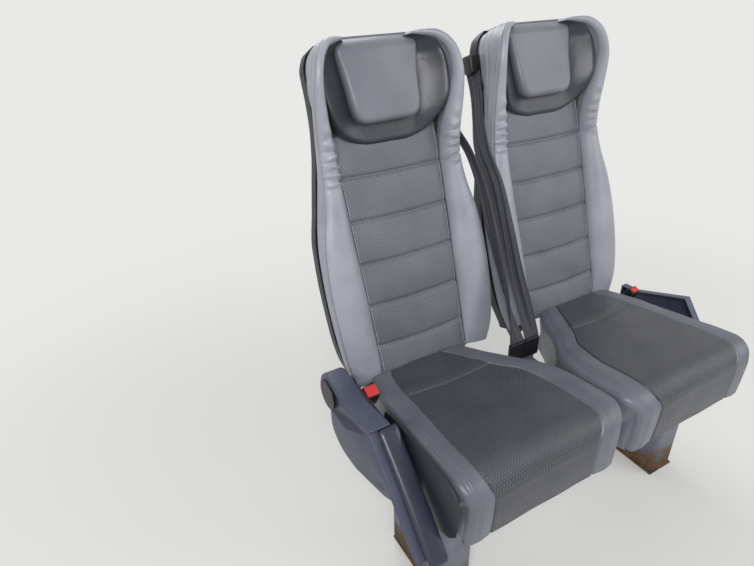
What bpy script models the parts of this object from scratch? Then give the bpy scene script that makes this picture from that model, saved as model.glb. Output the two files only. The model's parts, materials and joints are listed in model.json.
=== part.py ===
# Twin passenger seat of a minibus, in metres, +Z up, the sitters facing -Y.
# The aisle is at -X and the window at +X. The origin is the centre of the aisle leg's sole.

import math

import bmesh
import bpy
from mathutils import Matrix, Vector

# Fits
SEAT_GAP = 0.0003
RUNNING_GAP = 0.0005
OVERRUN = 0.02

# The row of two
SEAT_PITCH = 0.470
LEG_SPACING = 0.729
LEG_BEHIND_FRONT = 0.200
ROW_X = LEG_SPACING / 2
FRONT_Y = -LEG_BEHIND_FRONT

# Legs
LEG_WIDTH = 0.086
LEG_DEPTH = 0.200
LEG_HEIGHT = 0.275
LEG_CORNER = 0.012
SOLE_WIDTH = 0.098
SOLE_DEPTH = 0.250
SOLE_THICKNESS = 0.006
SOLE_CORNER = 0.010

# Beams across both legs
BEAM_DEPTH = 0.040
BEAM_HEIGHT = 0.030
BEAM_CORNER = 0.004
BEAM_INSET = 0.022
BEAM_END_X = 0.457
BEAM_Z = LEG_HEIGHT + SEAT_GAP

# Side rails under each cushion, up to the recline hinge
RAIL_THICKNESS = 0.005
RAIL_HEIGHT = 0.025
RAIL_FRONT_Y = 0.085
RAIL_EYE_RADIUS = 0.020
RAIL_NECK_Y = 0.400
RAIL_Z = BEAM_Z + BEAM_HEIGHT + SEAT_GAP

# Cushion pan
PAN_WALL = 0.003
PAN_HEIGHT = 0.012
PAN_INSET = 0.016
PAN_Z = RAIL_Z + RAIL_HEIGHT + SEAT_GAP

# Cushion
BITE_HEIGHT = 0.440
CUSHION_DEPTH = 0.423
CUSHION_SLOPE = math.radians(5.5)
CUSHION_BITE_GAP = 0.015
CUSHION_INNER = 0.2215
CUSHION_OUTER = 0.200
CUSHION_FOOT_INSET = 0.020
CUSHION_BORDER = 0.060
CUSHION_CROWN = 0.006
CUSHION_EDGE_DROP = 0.014
CUSHION_FOOT_HEIGHT = 0.018
CUSHION_Z = PAN_Z + PAN_WALL + SEAT_GAP

# Backrest, measured from the bite: up along it, and forward of the insert's face
BACK_ANGLE = math.radians(18.56)
HINGE_BEHIND_FACE = 0.060
HINGE_BELOW_BITE = 0.050
BACK_HALF_WIDTH = 0.2205
BACK_LENGTH = 0.745
BACK_FOOT = -0.020
BOLSTER_HEIGHT = 0.032
INSERT_HALF_WIDTH = 0.132
INSERT_MOST_SHARE = 0.70
GUSSET_DEPTH = 0.030

# Back frame tube and its eyes
FRAME_RADIUS = 0.012
FRAME_HALF_WIDTH = 0.130
FRAME_TOP = 0.620
FRAME_BEND = 0.060
EYE_RADIUS = 0.016
EYE_LENGTH = 0.024
PIN_RADIUS = 0.006
PIN_HEAD = 0.003

# Back shell
SHELL_WALL = 0.003
SHELL_SIDE_GAP = 0.006
SHELL_LIP = 0.002
SHELL_FOOT = -0.030
SHELL_SHOULDER = 0.020
SHELL_SHOULDER_STEPS = 3
SHELL_TOP_GAP = 0.003

# Collar and headrest pad
COLLAR_HALF_WIDTH = 0.146
COLLAR_FOOT = 0.524
COLLAR_TOP = 0.738
COLLAR_THICKNESS = 0.018
COLLAR_RISE = 0.050
HEAD_HALF_WIDTH = 0.092
HEAD_FOOT = 0.566
HEAD_TOP = 0.750
HEAD_THICKNESS = 0.024
HEAD_SUNK = 0.008
SLAB_FLAT_SHARE = 0.60
SLAB_ROLL_SHARE = 0.88

# Armrest, in the side view: back from the cushion's front edge and up from the floor
ARM_PIVOT_Y = 0.362
ARM_PIVOT_Z = 0.485
ARM_OUTER_X = 0.5255
ARM_INNER_X = 0.4775
KNUCKLE_RADIUS = 0.046
ARM_DEPTH = 0.046
ELBOW_Y = 0.160
ELBOW_Z = 0.500
ELBOW_CUT_SHARE = 0.40
ARM_DROP_ANGLE = math.radians(52.0)
ARM_TIP_LENGTH = 0.225
ARM_BAR = 0.012
ARM_ROUND = 0.005
ARM_PAD_INNER_X = 0.4615
ARM_PAD_OUTER_X = 0.5135
ARM_PAD_ROUND = 0.008
CAP_RADIUS = 0.034
CAP_THICKNESS = 0.004
ARM_PIN_RADIUS = 0.009
ARM_CLEARANCE = 0.006

# Arm bracket and side shield
BRACKET_THICKNESS = 0.006
BRACKET_EYE = 0.020
BRACKET_NECK = 0.045
SHIELD_OUTER_X = 0.5235
SHIELD_WALL = 0.003
SHIELD_ROUND = 0.003
SHIELD_REAR_Y = 0.405
SHIELD_FOOT_Z = 0.348
SHIELD_NOSE_Z = 0.394
END_COVER_DEPTH = 0.020

# Buckles
BUCKLE_X = 0.455
BUCKLE_Y = 0.300
BUCKLE_Z = 0.508
SUNK_BUCKLE_X = 0.4375
SUNK_BUCKLE_Y = 0.345
SUNK_BUCKLE_Z = 0.455
BUCKLE_WIDTH = 0.032
BUCKLE_LENGTH = 0.050
BUCKLE_THICKNESS = 0.022
BUCKLE_ROUND = 0.004
BUCKLE_TILT = math.radians(28.0)
BUTTON_WIDTH = 0.024
BUTTON_HEIGHT = 0.014
BUTTON_PROUD = 0.002
BUTTON_DEPTH = 0.006
STALK_WIDTH = 0.014
STALK_THICKNESS = 0.004
STALK_INSET = 0.006

# Belts
WEBBING_WIDTH = 0.046
WEBBING_THICKNESS = 0.0015
WEBBING_FROM_MIDDLE = 0.024
WEBBING_STEPS = 3
ANCHOR_Y = 0.325
ANCHOR_Z = 0.398
ANCHOR_PLATE = 0.004
SHEATH_LENGTH = 0.055
SHEATH_THICKNESS = 0.012
SHEATH_WIDTH = 0.050
SHEATH_ROUND = 0.003
GUIDE_UP = 0.600
GUIDE_FROM_MIDDLE = 0.038
GUIDE_HEIGHT = 0.046
GUIDE_WIDTH = 0.034
GUIDE_DEPTH = 0.030
GUIDE_ROUND = 0.004
GUIDE_BEHIND_FACE = 0.034

# Each seat: its name and its side of the row's middle
SEATS = (
    ("aisle", -1),
    ("window", 1),
)

# Top of each seat's buckle: from the row's middle, behind the cushion's front edge, and height
BUCKLE_PLACES = {
    "aisle": (BUCKLE_X, BUCKLE_Y, BUCKLE_Z),
    "window": (SUNK_BUCKLE_X, SUNK_BUCKLE_Y, SUNK_BUCKLE_Z),
}

# Finishes: name, red, green, blue, roughness, metallic
FINISHES = {
    "leatherette_grey": (0.33, 0.33, 0.36, 0.45, 0.0),
    "leatherette_insert": (0.14, 0.145, 0.155, 0.5, 0.0),
    "leatherette_charcoal": (0.05, 0.052, 0.065, 0.5, 0.0),
    "leatherette_head": (0.22, 0.225, 0.24, 0.5, 0.0),
    "shell_plastic": (0.02, 0.022, 0.035, 0.55, 0.0),
    "shield_plastic": (0.12, 0.125, 0.18, 0.5, 0.0),
    "arm_pad": (0.02, 0.022, 0.03, 0.4, 0.0),
    "black_plastic": (0.01, 0.01, 0.012, 0.45, 0.0),
    "buckle_red": (0.65, 0.04, 0.03, 0.4, 0.0),
    "webbing": (0.02, 0.02, 0.028, 0.8, 0.0),
    "painted_steel": (0.11, 0.11, 0.13, 0.5, 0.6),
    "bright_steel": (0.5, 0.5, 0.52, 0.35, 1.0),
}

# Outline of the backrest: share of its length, of its half-width in front and behind, of the bolster's height
BACK_SHARES = (
    (-0.026, 0.84, 0.80, 0.00),
    (0.010, 0.88, 0.84, 0.20),
    (0.071, 0.94, 0.90, 0.60),
    (0.152, 0.985, 0.93, 0.90),
    (0.294, 1.00, 0.94, 1.00),
    (0.426, 0.96, 0.92, 1.00),
    (0.537, 0.875, 0.84, 0.90),
    (0.628, 0.83, 0.77, 0.85),
    (0.709, 0.85, 0.71, 1.50),
    (0.800, 0.84, 0.67, 2.25),
    (0.880, 0.80, 0.66, 2.80),
    (0.935, 0.77, 0.66, 2.75),
    (0.978, 0.66, 0.61, 2.10),
    (1.000, 0.45, 0.50, 0.80),
)

# Outline of the collar: share of its height and of its half-width
COLLAR_SHARES = (
    (0.00, 0.42),
    (0.04, 0.62),
    (0.11, 0.78),
    (0.22, 0.90),
    (0.38, 0.98),
    (0.60, 1.00),
    (0.80, 1.00),
    (0.91, 0.92),
    (0.97, 0.80),
    (1.00, 0.66),
)

# Outline of the headrest pad: share of its height and of its half-width
HEAD_SHARES = (
    (0.00, 0.74),
    (0.07, 0.86),
    (0.20, 0.92),
    (0.55, 1.00),
    (0.90, 0.95),
    (1.00, 0.90),
)

# Plan of the cushion: share of its depth, of its outer and inner half-widths, and of its height
CUSHION_SHARES = (
    (0.000, 0.930, 0.900, 0.62),
    (0.025, 0.970, 0.950, 0.86),
    (0.110, 1.000, 1.000, 0.99),
    (0.330, 0.985, 1.000, 1.00),
    (0.560, 0.950, 0.930, 1.00),
    (0.700, 0.925, 0.760, 1.00),
    (0.850, 0.890, 0.600, 1.00),
    (0.955, 0.850, 0.500, 0.98),
    (1.000, 0.800, 0.440, 0.90),
)

# Routes of the belts, the first place being where the lower length ends: share of the back's length up it
# and forward of its face, share of the seats' pitch from the row's middle, and turn in degrees
WEBBING_SHARES = {
    "aisle": (
        (0.093, 0.110, 0.0484, 50),
        (0.212, 0.066, 0.0077, 70),
        (0.371, 0.045, 0.0066, 88),
        (0.503, 0.029, 0.0088, 88),
        (0.623, 0.005, 0.0264, 82),
        (0.722, -0.019, 0.0660, 84),
    ),
    "window": (
        (0.093, 0.110, 0.0527, -15),
        (0.212, 0.087, 0.0549, -28),
        (0.371, 0.069, 0.0549, -35),
        (0.503, 0.048, 0.0549, -42),
        (0.623, 0.008, 0.0527, -60),
        (0.722, -0.021, 0.0740, -80),
    ),
}


# Scene and helpers

def clear_scene():
    for obj in list(bpy.data.objects):
        bpy.data.objects.remove(obj, do_unlink=True)


def collection(name, hidden):
    made = bpy.data.collections.new(name)
    bpy.context.scene.collection.children.link(made)
    made.hide_render = hidden
    return made


def finish(name):
    found = bpy.data.materials.get(name)
    if found:
        return found
    red, green, blue, roughness, metallic = FINISHES[name]
    made = bpy.data.materials.new(name)
    made.use_nodes = True
    shader = made.node_tree.nodes["Principled BSDF"]
    shader.inputs["Base Color"].default_value = (red, green, blue, 1.0)
    shader.inputs["Roughness"].default_value = roughness
    shader.inputs["Metallic"].default_value = metallic
    return made


def add_mesh(name, bm, look, parent=None, place=Matrix.Identity(4)):
    """A new object from a bmesh. A look of None makes it a cutter."""
    bmesh.ops.recalc_face_normals(bm, faces=bm.faces)
    if bm.calc_volume(signed=True) < 0:
        bmesh.ops.reverse_faces(bm, faces=bm.faces)
    mesh = bpy.data.meshes.new(name)
    bm.to_mesh(mesh)
    bm.free()
    obj = bpy.data.objects.new(name, mesh)
    if look is None:
        cutters.objects.link(obj)
        obj.hide_render = True
        obj.display_type = "WIRE"
    else:
        parts.objects.link(obj)
        mesh.materials.append(finish(look))
        mesh.shade_smooth()
        mesh.set_sharp_from_angle(angle=math.radians(35.0))
    obj.parent = parent
    obj.matrix_basis = place
    return obj


def subdivide(obj, levels=1):
    smooth = obj.modifiers.new("Smooth", "SUBSURF")
    smooth.levels = levels
    smooth.render_levels = levels


def solidify(obj, wall, towards):
    """Thickens an open surface on the side that its largest face turns towards."""
    largest = max(obj.data.polygons, key=lambda face: face.area)
    thick = obj.modifiers.new("Wall", "SOLIDIFY")
    thick.thickness = wall
    thick.offset = 1 if largest.normal.dot(towards) > 0 else -1
    thick.use_even_offset = True


def bevel(obj, width, segments=2):
    rounded = obj.modifiers.new("Rounded", "BEVEL")
    rounded.width = width
    rounded.segments = segments
    rounded.limit_method = "ANGLE"
    rounded.angle_limit = math.radians(40.0)


def boolean(obj, other, operation):
    change = obj.modifiers.new(operation.title(), "BOOLEAN")
    change.operation = operation
    change.object = other
    change.solver = "EXACT"


def arc(centre, radius, start, end, steps):
    """Points round a centre from one angle in degrees to another."""
    points = []
    for step in range(steps + 1):
        angle = math.radians(start + (end - start) * step / steps)
        points.append((centre[0] + radius * math.cos(angle), centre[1] + radius * math.sin(angle)))
    return points


# A curve's own axes turned so that its outline stands in the side view or the front view
SIDE_VIEW = Matrix(((0, 0, 1, 0), (1, 0, 0, 0), (0, 1, 0, 0), (0, 0, 0, 1)))
FRONT_VIEW = Matrix(((1, 0, 0, 0), (0, 0, -1, 0), (0, 1, 0, 0), (0, 0, 0, 1)))


def extruded(name, outline, low, high, view, look, parent=None):
    """A flat outline as a solid between two planes of the view."""
    curve = bpy.data.curves.new(name, "CURVE")
    curve.dimensions = "2D"
    curve.fill_mode = "BOTH"
    curve.extrude = (high - low) / 2
    spline = curve.splines.new("POLY")
    spline.points.add(len(outline) - 1)
    for point, place in zip(spline.points, outline):
        point.co = (place[0], place[1], 0, 1)
    spline.use_cyclic_u = True
    return curve_to_mesh(name, curve, view @ Matrix.Translation((0, 0, (low + high) / 2)), look, parent)


def curve_to_mesh(name, curve, place, look, parent):
    drawn = bpy.data.objects.new(name + "_curve", curve)
    parts.objects.link(drawn)
    graph = bpy.context.evaluated_depsgraph_get()
    mesh = bpy.data.meshes.new_from_object(drawn.evaluated_get(graph))
    bm = bmesh.new()
    bm.from_mesh(mesh)
    bmesh.ops.remove_doubles(bm, verts=bm.verts, dist=SEAT_GAP / 10)
    bpy.data.objects.remove(drawn, do_unlink=True)
    bpy.data.meshes.remove(mesh)
    return add_mesh(name, bm, look, parent, place)


def box(name, low, high, look, parent=None, place=Matrix.Identity(4)):
    bm = bmesh.new()
    size = Vector(high) - Vector(low)
    middle = (Vector(high) + Vector(low)) / 2
    bmesh.ops.create_cube(bm, size=1, matrix=Matrix.Translation(middle) @ Matrix.Diagonal((*size, 1)))
    return add_mesh(name, bm, look, parent, place)


def cylinder_x(name, low_x, high_x, y, z, radius, look, parent=None, sides=16):
    """A round bar along X."""
    bm = bmesh.new()
    middle = Matrix.Translation(((low_x + high_x) / 2, y, z))
    turn = Matrix.Rotation(math.radians(90.0), 4, "Y")
    bmesh.ops.create_cone(
        bm, cap_ends=True, segments=sides, radius1=radius, radius2=radius,
        depth=high_x - low_x, matrix=middle @ turn,
    )
    return add_mesh(name, bm, look, parent)


def lofted(name, rings, look, parent=None, closed=True):
    """A skin through rings of as many points each, capped at both ends if closed."""
    bm = bmesh.new()
    rows = [[bm.verts.new(point) for point in ring] for ring in rings]
    last = 0 if closed else 1
    for lower, upper in zip(rows, rows[1:]):
        for i in range(len(lower) - last):
            j = (i + 1) % len(lower)
            bm.faces.new((lower[i], lower[j], upper[j], upper[i]))
    if closed:
        bm.faces.new(rows[0])
        bm.faces.new(rows[-1])
    return add_mesh(name, bm, look, parent)


def mirrored(half):
    """A whole ring from its right half, given from the top middle to the bottom middle."""
    return list(half) + [(-x, y, z) for x, y, z in reversed(half[1:-1])]


# Places worked out from the driving dimensions

HINGE_Y = FRONT_Y + CUSHION_DEPTH + (
    HINGE_BEHIND_FACE * math.cos(BACK_ANGLE) - HINGE_BELOW_BITE * math.sin(BACK_ANGLE)
)
HINGE_Z = BITE_HEIGHT - HINGE_BEHIND_FACE * math.sin(BACK_ANGLE) - HINGE_BELOW_BITE * math.cos(BACK_ANGLE)
FRONT_BEAM_Y = -LEG_DEPTH / 2 + BEAM_INSET + BEAM_DEPTH / 2
REAR_BEAM_Y = LEG_DEPTH / 2 - BEAM_INSET / 2 - BEAM_DEPTH / 2
ARM_PIVOT = (FRONT_Y + ARM_PIVOT_Y, ARM_PIVOT_Z)
SHIELD_INNER_X = BEAM_END_X + SEAT_GAP + BRACKET_THICKNESS + SEAT_GAP
RAIL_X = FRAME_HALF_WIDTH + EYE_LENGTH / 2 + RUNNING_GAP + RAIL_THICKNESS / 2


def seat_x(side):
    return ROW_X + side * SEAT_PITCH / 2


def up_back(share):
    """Height in the hinge's frame of a place given up along the back from the bite."""
    return HINGE_BELOW_BITE + share


def fore_back(forward):
    """Depth in the hinge's frame of a place given forward of the insert's face."""
    return -HINGE_BEHIND_FACE - forward


def in_back_frame(y, z):
    """A place of the side view in the hinge's frame."""
    dy = y - HINGE_Y
    dz = z - HINGE_Z
    return (
        dy * math.cos(BACK_ANGLE) - dz * math.sin(BACK_ANGLE),
        dy * math.sin(BACK_ANGLE) + dz * math.cos(BACK_ANGLE),
    )


# Base

def make_leg(side_name, side):
    x = ROW_X + side * LEG_SPACING / 2
    leg = box(
        f"leg_{side_name}",
        (x - LEG_WIDTH / 2, -LEG_DEPTH / 2, SOLE_THICKNESS / 2),
        (x + LEG_WIDTH / 2, LEG_DEPTH / 2, LEG_HEIGHT),
        "painted_steel",
    )
    bevel(leg, LEG_CORNER, 3)
    sole = box(
        f"sole_{side_name}",
        (x - SOLE_WIDTH / 2, -SOLE_DEPTH / 2, 0),
        (x + SOLE_WIDTH / 2, SOLE_DEPTH / 2, SOLE_THICKNESS),
        None,
    )
    boolean(leg, sole, "UNION")


def make_beams():
    for name, y in (("beam_front", FRONT_BEAM_Y), ("beam_rear", REAR_BEAM_Y)):
        beam = box(
            name,
            (ROW_X - BEAM_END_X, y - BEAM_DEPTH / 2, BEAM_Z),
            (ROW_X + BEAM_END_X, y + BEAM_DEPTH / 2, BEAM_Z + BEAM_HEIGHT),
            "painted_steel",
        )
        bevel(beam, BEAM_CORNER)


def make_rail(name, x, inward):
    """A plate on the beams whose tail rises to the hinge, with the hinge's pin."""
    tail = [(HINGE_Y, HINGE_Z)]
    outline = [
        (FRONT_Y + RAIL_FRONT_Y, RAIL_Z),
        (FRONT_Y + RAIL_NECK_Y, RAIL_Z),
    ]
    outline += arc(tail[0], RAIL_EYE_RADIUS, -60, 120, 10)
    outline += [
        (FRONT_Y + RAIL_NECK_Y, RAIL_Z + RAIL_HEIGHT),
        (FRONT_Y + RAIL_FRONT_Y, RAIL_Z + RAIL_HEIGHT),
    ]
    rail = extruded(name, outline, x - RAIL_THICKNESS / 2, x + RAIL_THICKNESS / 2, SIDE_VIEW, "painted_steel")
    start = x - inward * (RAIL_THICKNESS / 2 + PIN_HEAD)
    end = x + inward * (RAIL_THICKNESS / 2 + RUNNING_GAP + EYE_LENGTH)
    pin = cylinder_x(name + "_pin", min(start, end), max(start, end), HINGE_Y, HINGE_Z, PIN_RADIUS, None)
    boolean(rail, pin, "UNION")


def cushion_half_widths(outer_share, inner_share, side):
    """Distances to the left and to the right of the seat's middle."""
    outer = CUSHION_OUTER * outer_share
    inner = CUSHION_INNER * inner_share
    return (outer, inner) if side < 0 else (inner, outer)


def cushion_plan(side, inset):
    """The cushion's outline from above, drawn in by an inset."""
    x = seat_x(side)
    depth = CUSHION_DEPTH - CUSHION_BITE_GAP
    left_edge = []
    right_edge = []
    for depth_share, outer_share, inner_share, _ in CUSHION_SHARES:
        left, right = cushion_half_widths(outer_share, inner_share, side)
        y = FRONT_Y + inset + (depth - 2 * inset) * depth_share
        left_edge.append((x - left + inset, y))
        right_edge.append((x + right - inset, y))
    return left_edge[::-1] + right_edge


def make_pan(name, side):
    """A shallow moulded tray that follows the cushion's plan."""
    bm = bmesh.new()
    floor = bm.faces.new([bm.verts.new((x, y, PAN_Z)) for x, y in cushion_plan(side, PAN_INSET)])
    rim = bmesh.ops.extrude_edge_only(bm, edges=list(floor.edges))
    raised = [item for item in rim["geom"] if isinstance(item, bmesh.types.BMVert)]
    bmesh.ops.translate(bm, verts=raised, vec=(0, 0, PAN_HEIGHT))
    pan = add_mesh(f"pan_{name}", bm, "black_plastic")
    solidify(pan, PAN_WALL, Vector((0, 0, 1)))


def make_cushion(name, side):
    x = seat_x(side)
    depth = CUSHION_DEPTH - CUSHION_BITE_GAP
    rings = []
    for depth_share, outer_share, inner_share, height_share in CUSHION_SHARES:
        left, right = cushion_half_widths(outer_share, inner_share, side)
        y = FRONT_Y + depth * depth_share
        foot_y = FRONT_Y + CUSHION_FOOT_INSET + (depth - 2 * CUSHION_FOOT_INSET) * depth_share
        rise = (CUSHION_DEPTH - depth * depth_share) * math.tan(CUSHION_SLOPE)
        top = CUSHION_Z + (BITE_HEIGHT + rise - CUSHION_Z) * height_share
        edge = top - CUSHION_EDGE_DROP * height_share
        waist = CUSHION_Z + (edge - CUSHION_Z) / 2
        foot = CUSHION_Z + CUSHION_FOOT_HEIGHT
        rings.append([
            (x - left + CUSHION_BORDER, y, top),
            (x, y, top + CUSHION_CROWN),
            (x + right - CUSHION_BORDER, y, top),
            (x + right - CUSHION_BORDER / 4, y, top),
            (x + right, y, edge),
            (x + right, y, waist),
            (x + right - CUSHION_FOOT_INSET, foot_y, foot),
            (x + right - CUSHION_FOOT_INSET, foot_y, CUSHION_Z),
            (x, foot_y, CUSHION_Z),
            (x - left + CUSHION_FOOT_INSET, foot_y, CUSHION_Z),
            (x - left + CUSHION_FOOT_INSET, foot_y, foot),
            (x - left, y, waist),
            (x - left, y, edge),
            (x - left + CUSHION_BORDER / 4, y, top),
        ])
    subdivide(lofted(f"cushion_{name}", rings, "leatherette_grey"))


# Backrest

def back_rows():
    """Rows of the backrest's outline: place up it, half-widths in front and behind, bolster height."""
    for length_share, front_share, rear_share, bolster_share in BACK_SHARES:
        yield (
            BACK_LENGTH * length_share,
            BACK_HALF_WIDTH * front_share,
            BACK_HALF_WIDTH * rear_share,
            BOLSTER_HEIGHT * bolster_share,
        )


def make_hinge(name, side):
    hinge = bpy.data.objects.new(f"hinge_{name}", None)
    parts.objects.link(hinge)
    hinge.location = (seat_x(side), HINGE_Y, HINGE_Z)
    hinge.rotation_euler = (-BACK_ANGLE, 0, 0)
    return hinge


def make_back_frame(name, hinge):
    """A tube bent to an arch, with an eye at each foot."""
    path = [(FRAME_HALF_WIDTH, 0)]
    path += arc((FRAME_HALF_WIDTH - FRAME_BEND, FRAME_TOP - FRAME_BEND), FRAME_BEND, 0, 90, 5)
    path += [(-x, z) for x, z in reversed(path)]
    curve = bpy.data.curves.new("back_frame", "CURVE")
    curve.dimensions = "3D"
    curve.bevel_depth = FRAME_RADIUS
    curve.bevel_resolution = 2
    curve.use_fill_caps = True
    spline = curve.splines.new("POLY")
    spline.points.add(len(path) - 1)
    for point, (x, z) in zip(spline.points, path):
        point.co = (x, 0, z, 1)
    frame = curve_to_mesh(f"back_frame_{name}", curve, Matrix.Identity(4), "painted_steel", hinge)
    for end in (-1, 1):
        low = end * FRAME_HALF_WIDTH - EYE_LENGTH / 2
        eye = cylinder_x(f"eye_{name}_{end}", low, low + EYE_LENGTH, 0, 0, EYE_RADIUS, None, hinge)
        boolean(frame, eye, "UNION")
    for end in (-1, 1):
        low = end * FRAME_HALF_WIDTH - EYE_LENGTH
        bore = cylinder_x(
            f"bore_{name}_{end}", low, low + 2 * EYE_LENGTH, 0, 0, PIN_RADIUS + SEAT_GAP, None, hinge
        )
        boolean(frame, bore, "DIFFERENCE")


def make_back_cushion(name, hinge):
    """Insert, bolsters, waist and wings in one soft form."""
    rear = -FRAME_RADIUS - SEAT_GAP
    rings = []
    for up, half_width, rear_width, bolster in back_rows():
        z = up_back(up)
        seam = min(INSERT_HALF_WIDTH, half_width * INSERT_MOST_SHARE)
        half = (
            (0, fore_back(0), z),
            (seam / 2, fore_back(0), z),
            (seam, fore_back(0), z),
            ((seam + half_width) / 2, fore_back(bolster), z),
            (half_width - GUSSET_DEPTH / 2, fore_back(bolster), z),
            (half_width, fore_back(bolster / 2), z),
            (rear_width, fore_back(-GUSSET_DEPTH), z),
            (rear_width - GUSSET_DEPTH / 2, rear, z),
            (0, rear, z),
        )
        rings.append(mirrored(half))
    cushion = lofted(f"back_cushion_{name}", rings, "leatherette_grey", hinge)
    subdivide(cushion)
    pocket = extruded(
        f"collar_pocket_{name}", collar_outline(), -fore_back(0), -fore_back(0) + COLLAR_HALF_WIDTH,
        FRONT_VIEW, None, hinge,
    )
    boolean(cushion, pocket, "DIFFERENCE")


def tapered(shares, foot, top, half_width):
    """Rows of a soft piece's outline: place up the back and half-width."""
    for height_share, width_share in shares:
        yield foot + (top - foot) * height_share, half_width * width_share


def outline_of(rows):
    right = [(half_width, up_back(up)) for up, half_width in rows]
    return right + [(-x, z) for x, z in reversed(right)]


def collar_outline():
    rows = list(tapered(COLLAR_SHARES, COLLAR_FOOT, COLLAR_TOP, COLLAR_HALF_WIDTH))
    top_up, top_width = rows[-1]
    rows.append((top_up + OVERRUN * 2, top_width))
    return outline_of(rows)


def head_outline():
    rows = list(tapered(HEAD_SHARES, HEAD_FOOT, HEAD_TOP, HEAD_HALF_WIDTH))
    top_up, top_width = rows[-1]
    rows.append((top_up + OVERRUN * 2, top_width))
    return outline_of(rows)


def soft_slab(name, rows, floor, thickness, rise, look, hinge):
    """A pad with a flat back, its face rising towards its sides."""
    rings = []
    for up, half_width in rows:
        z = up_back(up)
        half = (
            (0, fore_back(floor + thickness), z),
            (half_width * SLAB_FLAT_SHARE, fore_back(floor + thickness), z),
            (half_width * SLAB_ROLL_SHARE, fore_back(floor + thickness + rise), z),
            (half_width, fore_back(floor + (thickness + rise) / 2), z),
            (half_width, fore_back(floor), z),
            (half_width / 2, fore_back(floor), z),
            (0, fore_back(floor), z),
        )
        rings.append(mirrored(half))
    slab = lofted(name, rings, look, hinge)
    subdivide(slab)
    return slab


def make_collar(name, hinge):
    rows = list(tapered(COLLAR_SHARES, COLLAR_FOOT, COLLAR_TOP, COLLAR_HALF_WIDTH))
    collar = soft_slab(
        f"collar_{name}", rows, SEAT_GAP, COLLAR_THICKNESS, COLLAR_RISE, "leatherette_charcoal", hinge
    )
    floor = -fore_back(SEAT_GAP + COLLAR_THICKNESS - HEAD_SUNK)
    pocket = extruded(
        f"head_pocket_{name}", head_outline(), floor, floor + COLLAR_HALF_WIDTH, FRONT_VIEW, None, hinge
    )
    boolean(collar, pocket, "DIFFERENCE")


def make_head_pad(name, hinge):
    rows = list(tapered(HEAD_SHARES, HEAD_FOOT, HEAD_TOP, HEAD_HALF_WIDTH))
    floor = 2 * SEAT_GAP + COLLAR_THICKNESS - HEAD_SUNK
    soft_slab(f"head_pad_{name}", rows, floor, HEAD_THICKNESS, 0, "leatherette_head", hinge)


def shell_rings(spare=0):
    """Rows across the inner face of the shell, from its foot to the lip over the top."""
    rings = []
    inner = FRAME_RADIUS + SEAT_GAP + spare
    lip = fore_back(-GUSSET_DEPTH) + SHELL_LIP
    for up, _, half_width, _ in back_rows():
        z = up_back(max(up, SHELL_FOOT))
        edge = half_width + SHELL_SIDE_GAP + spare
        shoulder = (edge - SHELL_SHOULDER, inner - SHELL_SHOULDER)
        half = [(0, inner)] + arc(shoulder, SHELL_SHOULDER, 90, 0, SHELL_SHOULDER_STEPS) + [(edge, lip)]
        rings.append([(-x, y, z) for x, y in reversed(half[1:])] + [(x, y, z) for x, y in half])
    z = up_back(BACK_LENGTH + SHELL_TOP_GAP + spare)
    for y in (inner - SHELL_SHOULDER, lip):
        rings.append([(x, y, z) for x, _, _ in rings[-1]])
    return rings


def make_shell(name, hinge):
    """The moulded shell behind the cushion."""
    shell = lofted(f"back_shell_{name}", shell_rings(), "shell_plastic", hinge, closed=False)
    solidify(shell, SHELL_WALL, Vector((0, 1, 0)))


# Belts

def webbing_stations(name, side):
    """Places along a belt from its sheath to its guide: across from the row's middle, forward, up, and turn."""
    low_y = FRONT_Y + ANCHOR_Y
    low_z = ANCHOR_Z + SHEATH_LENGTH + WEBBING_THICKNESS / 2
    y, z = in_back_frame(low_y, low_z)
    stations = [Vector((side * WEBBING_FROM_MIDDLE, y, z, 0))]
    for up_share, forward_share, across_share, turn in WEBBING_SHARES[name]:
        stations.append(Vector((
            side * across_share * SEAT_PITCH,
            fore_back(forward_share * BACK_LENGTH),
            up_back(up_share * BACK_LENGTH),
            math.radians(turn),
        )))
    stations.append(Vector((
        side * GUIDE_FROM_MIDDLE, fore_back(-GUIDE_BEHIND_FACE), up_back(GUIDE_UP) - SEAT_GAP, stations[-1][3],
    )))
    return stations


def smooth_through(stations, steps):
    """More places on a smooth curve through the stations."""
    places = []
    last = len(stations) - 1
    for i in range(last):
        before = stations[max(i - 1, 0)]
        start = stations[i]
        end = stations[i + 1]
        after = stations[min(i + 2, last)]
        for step in range(steps):
            t = step / steps
            places.append(
                start
                + (end - before) * (t / 2)
                + (before * 2 - start * 5 + end * 4 - after) * (t * t / 2)
                + (start * 3 - before - end * 3 + after) * (t * t * t / 2)
            )
    places.append(stations[last])
    return places


def webbing_edges(place, to_frame):
    x, y, z, turn = place
    across = Vector((math.cos(turn), math.sin(turn), 0)) * WEBBING_WIDTH / 2
    middle = Vector((x, y, z))
    return [tuple(to_frame @ (middle - across)), tuple(to_frame @ (middle + across))]


def belt_length(name, places, to_frame, hinge=None):
    """One length of flat belt. It is split to triangles first, so that both its sides bend alike."""
    rows = [webbing_edges(place, to_frame) for place in places]
    belt = lofted(name, rows, "webbing", hinge, closed=False)
    belt.modifiers.new("Split", "TRIANGULATE")
    thick = belt.modifiers.new("Weave", "SOLIDIFY")
    thick.thickness = WEBBING_THICKNESS
    thick.offset = 0


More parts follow.
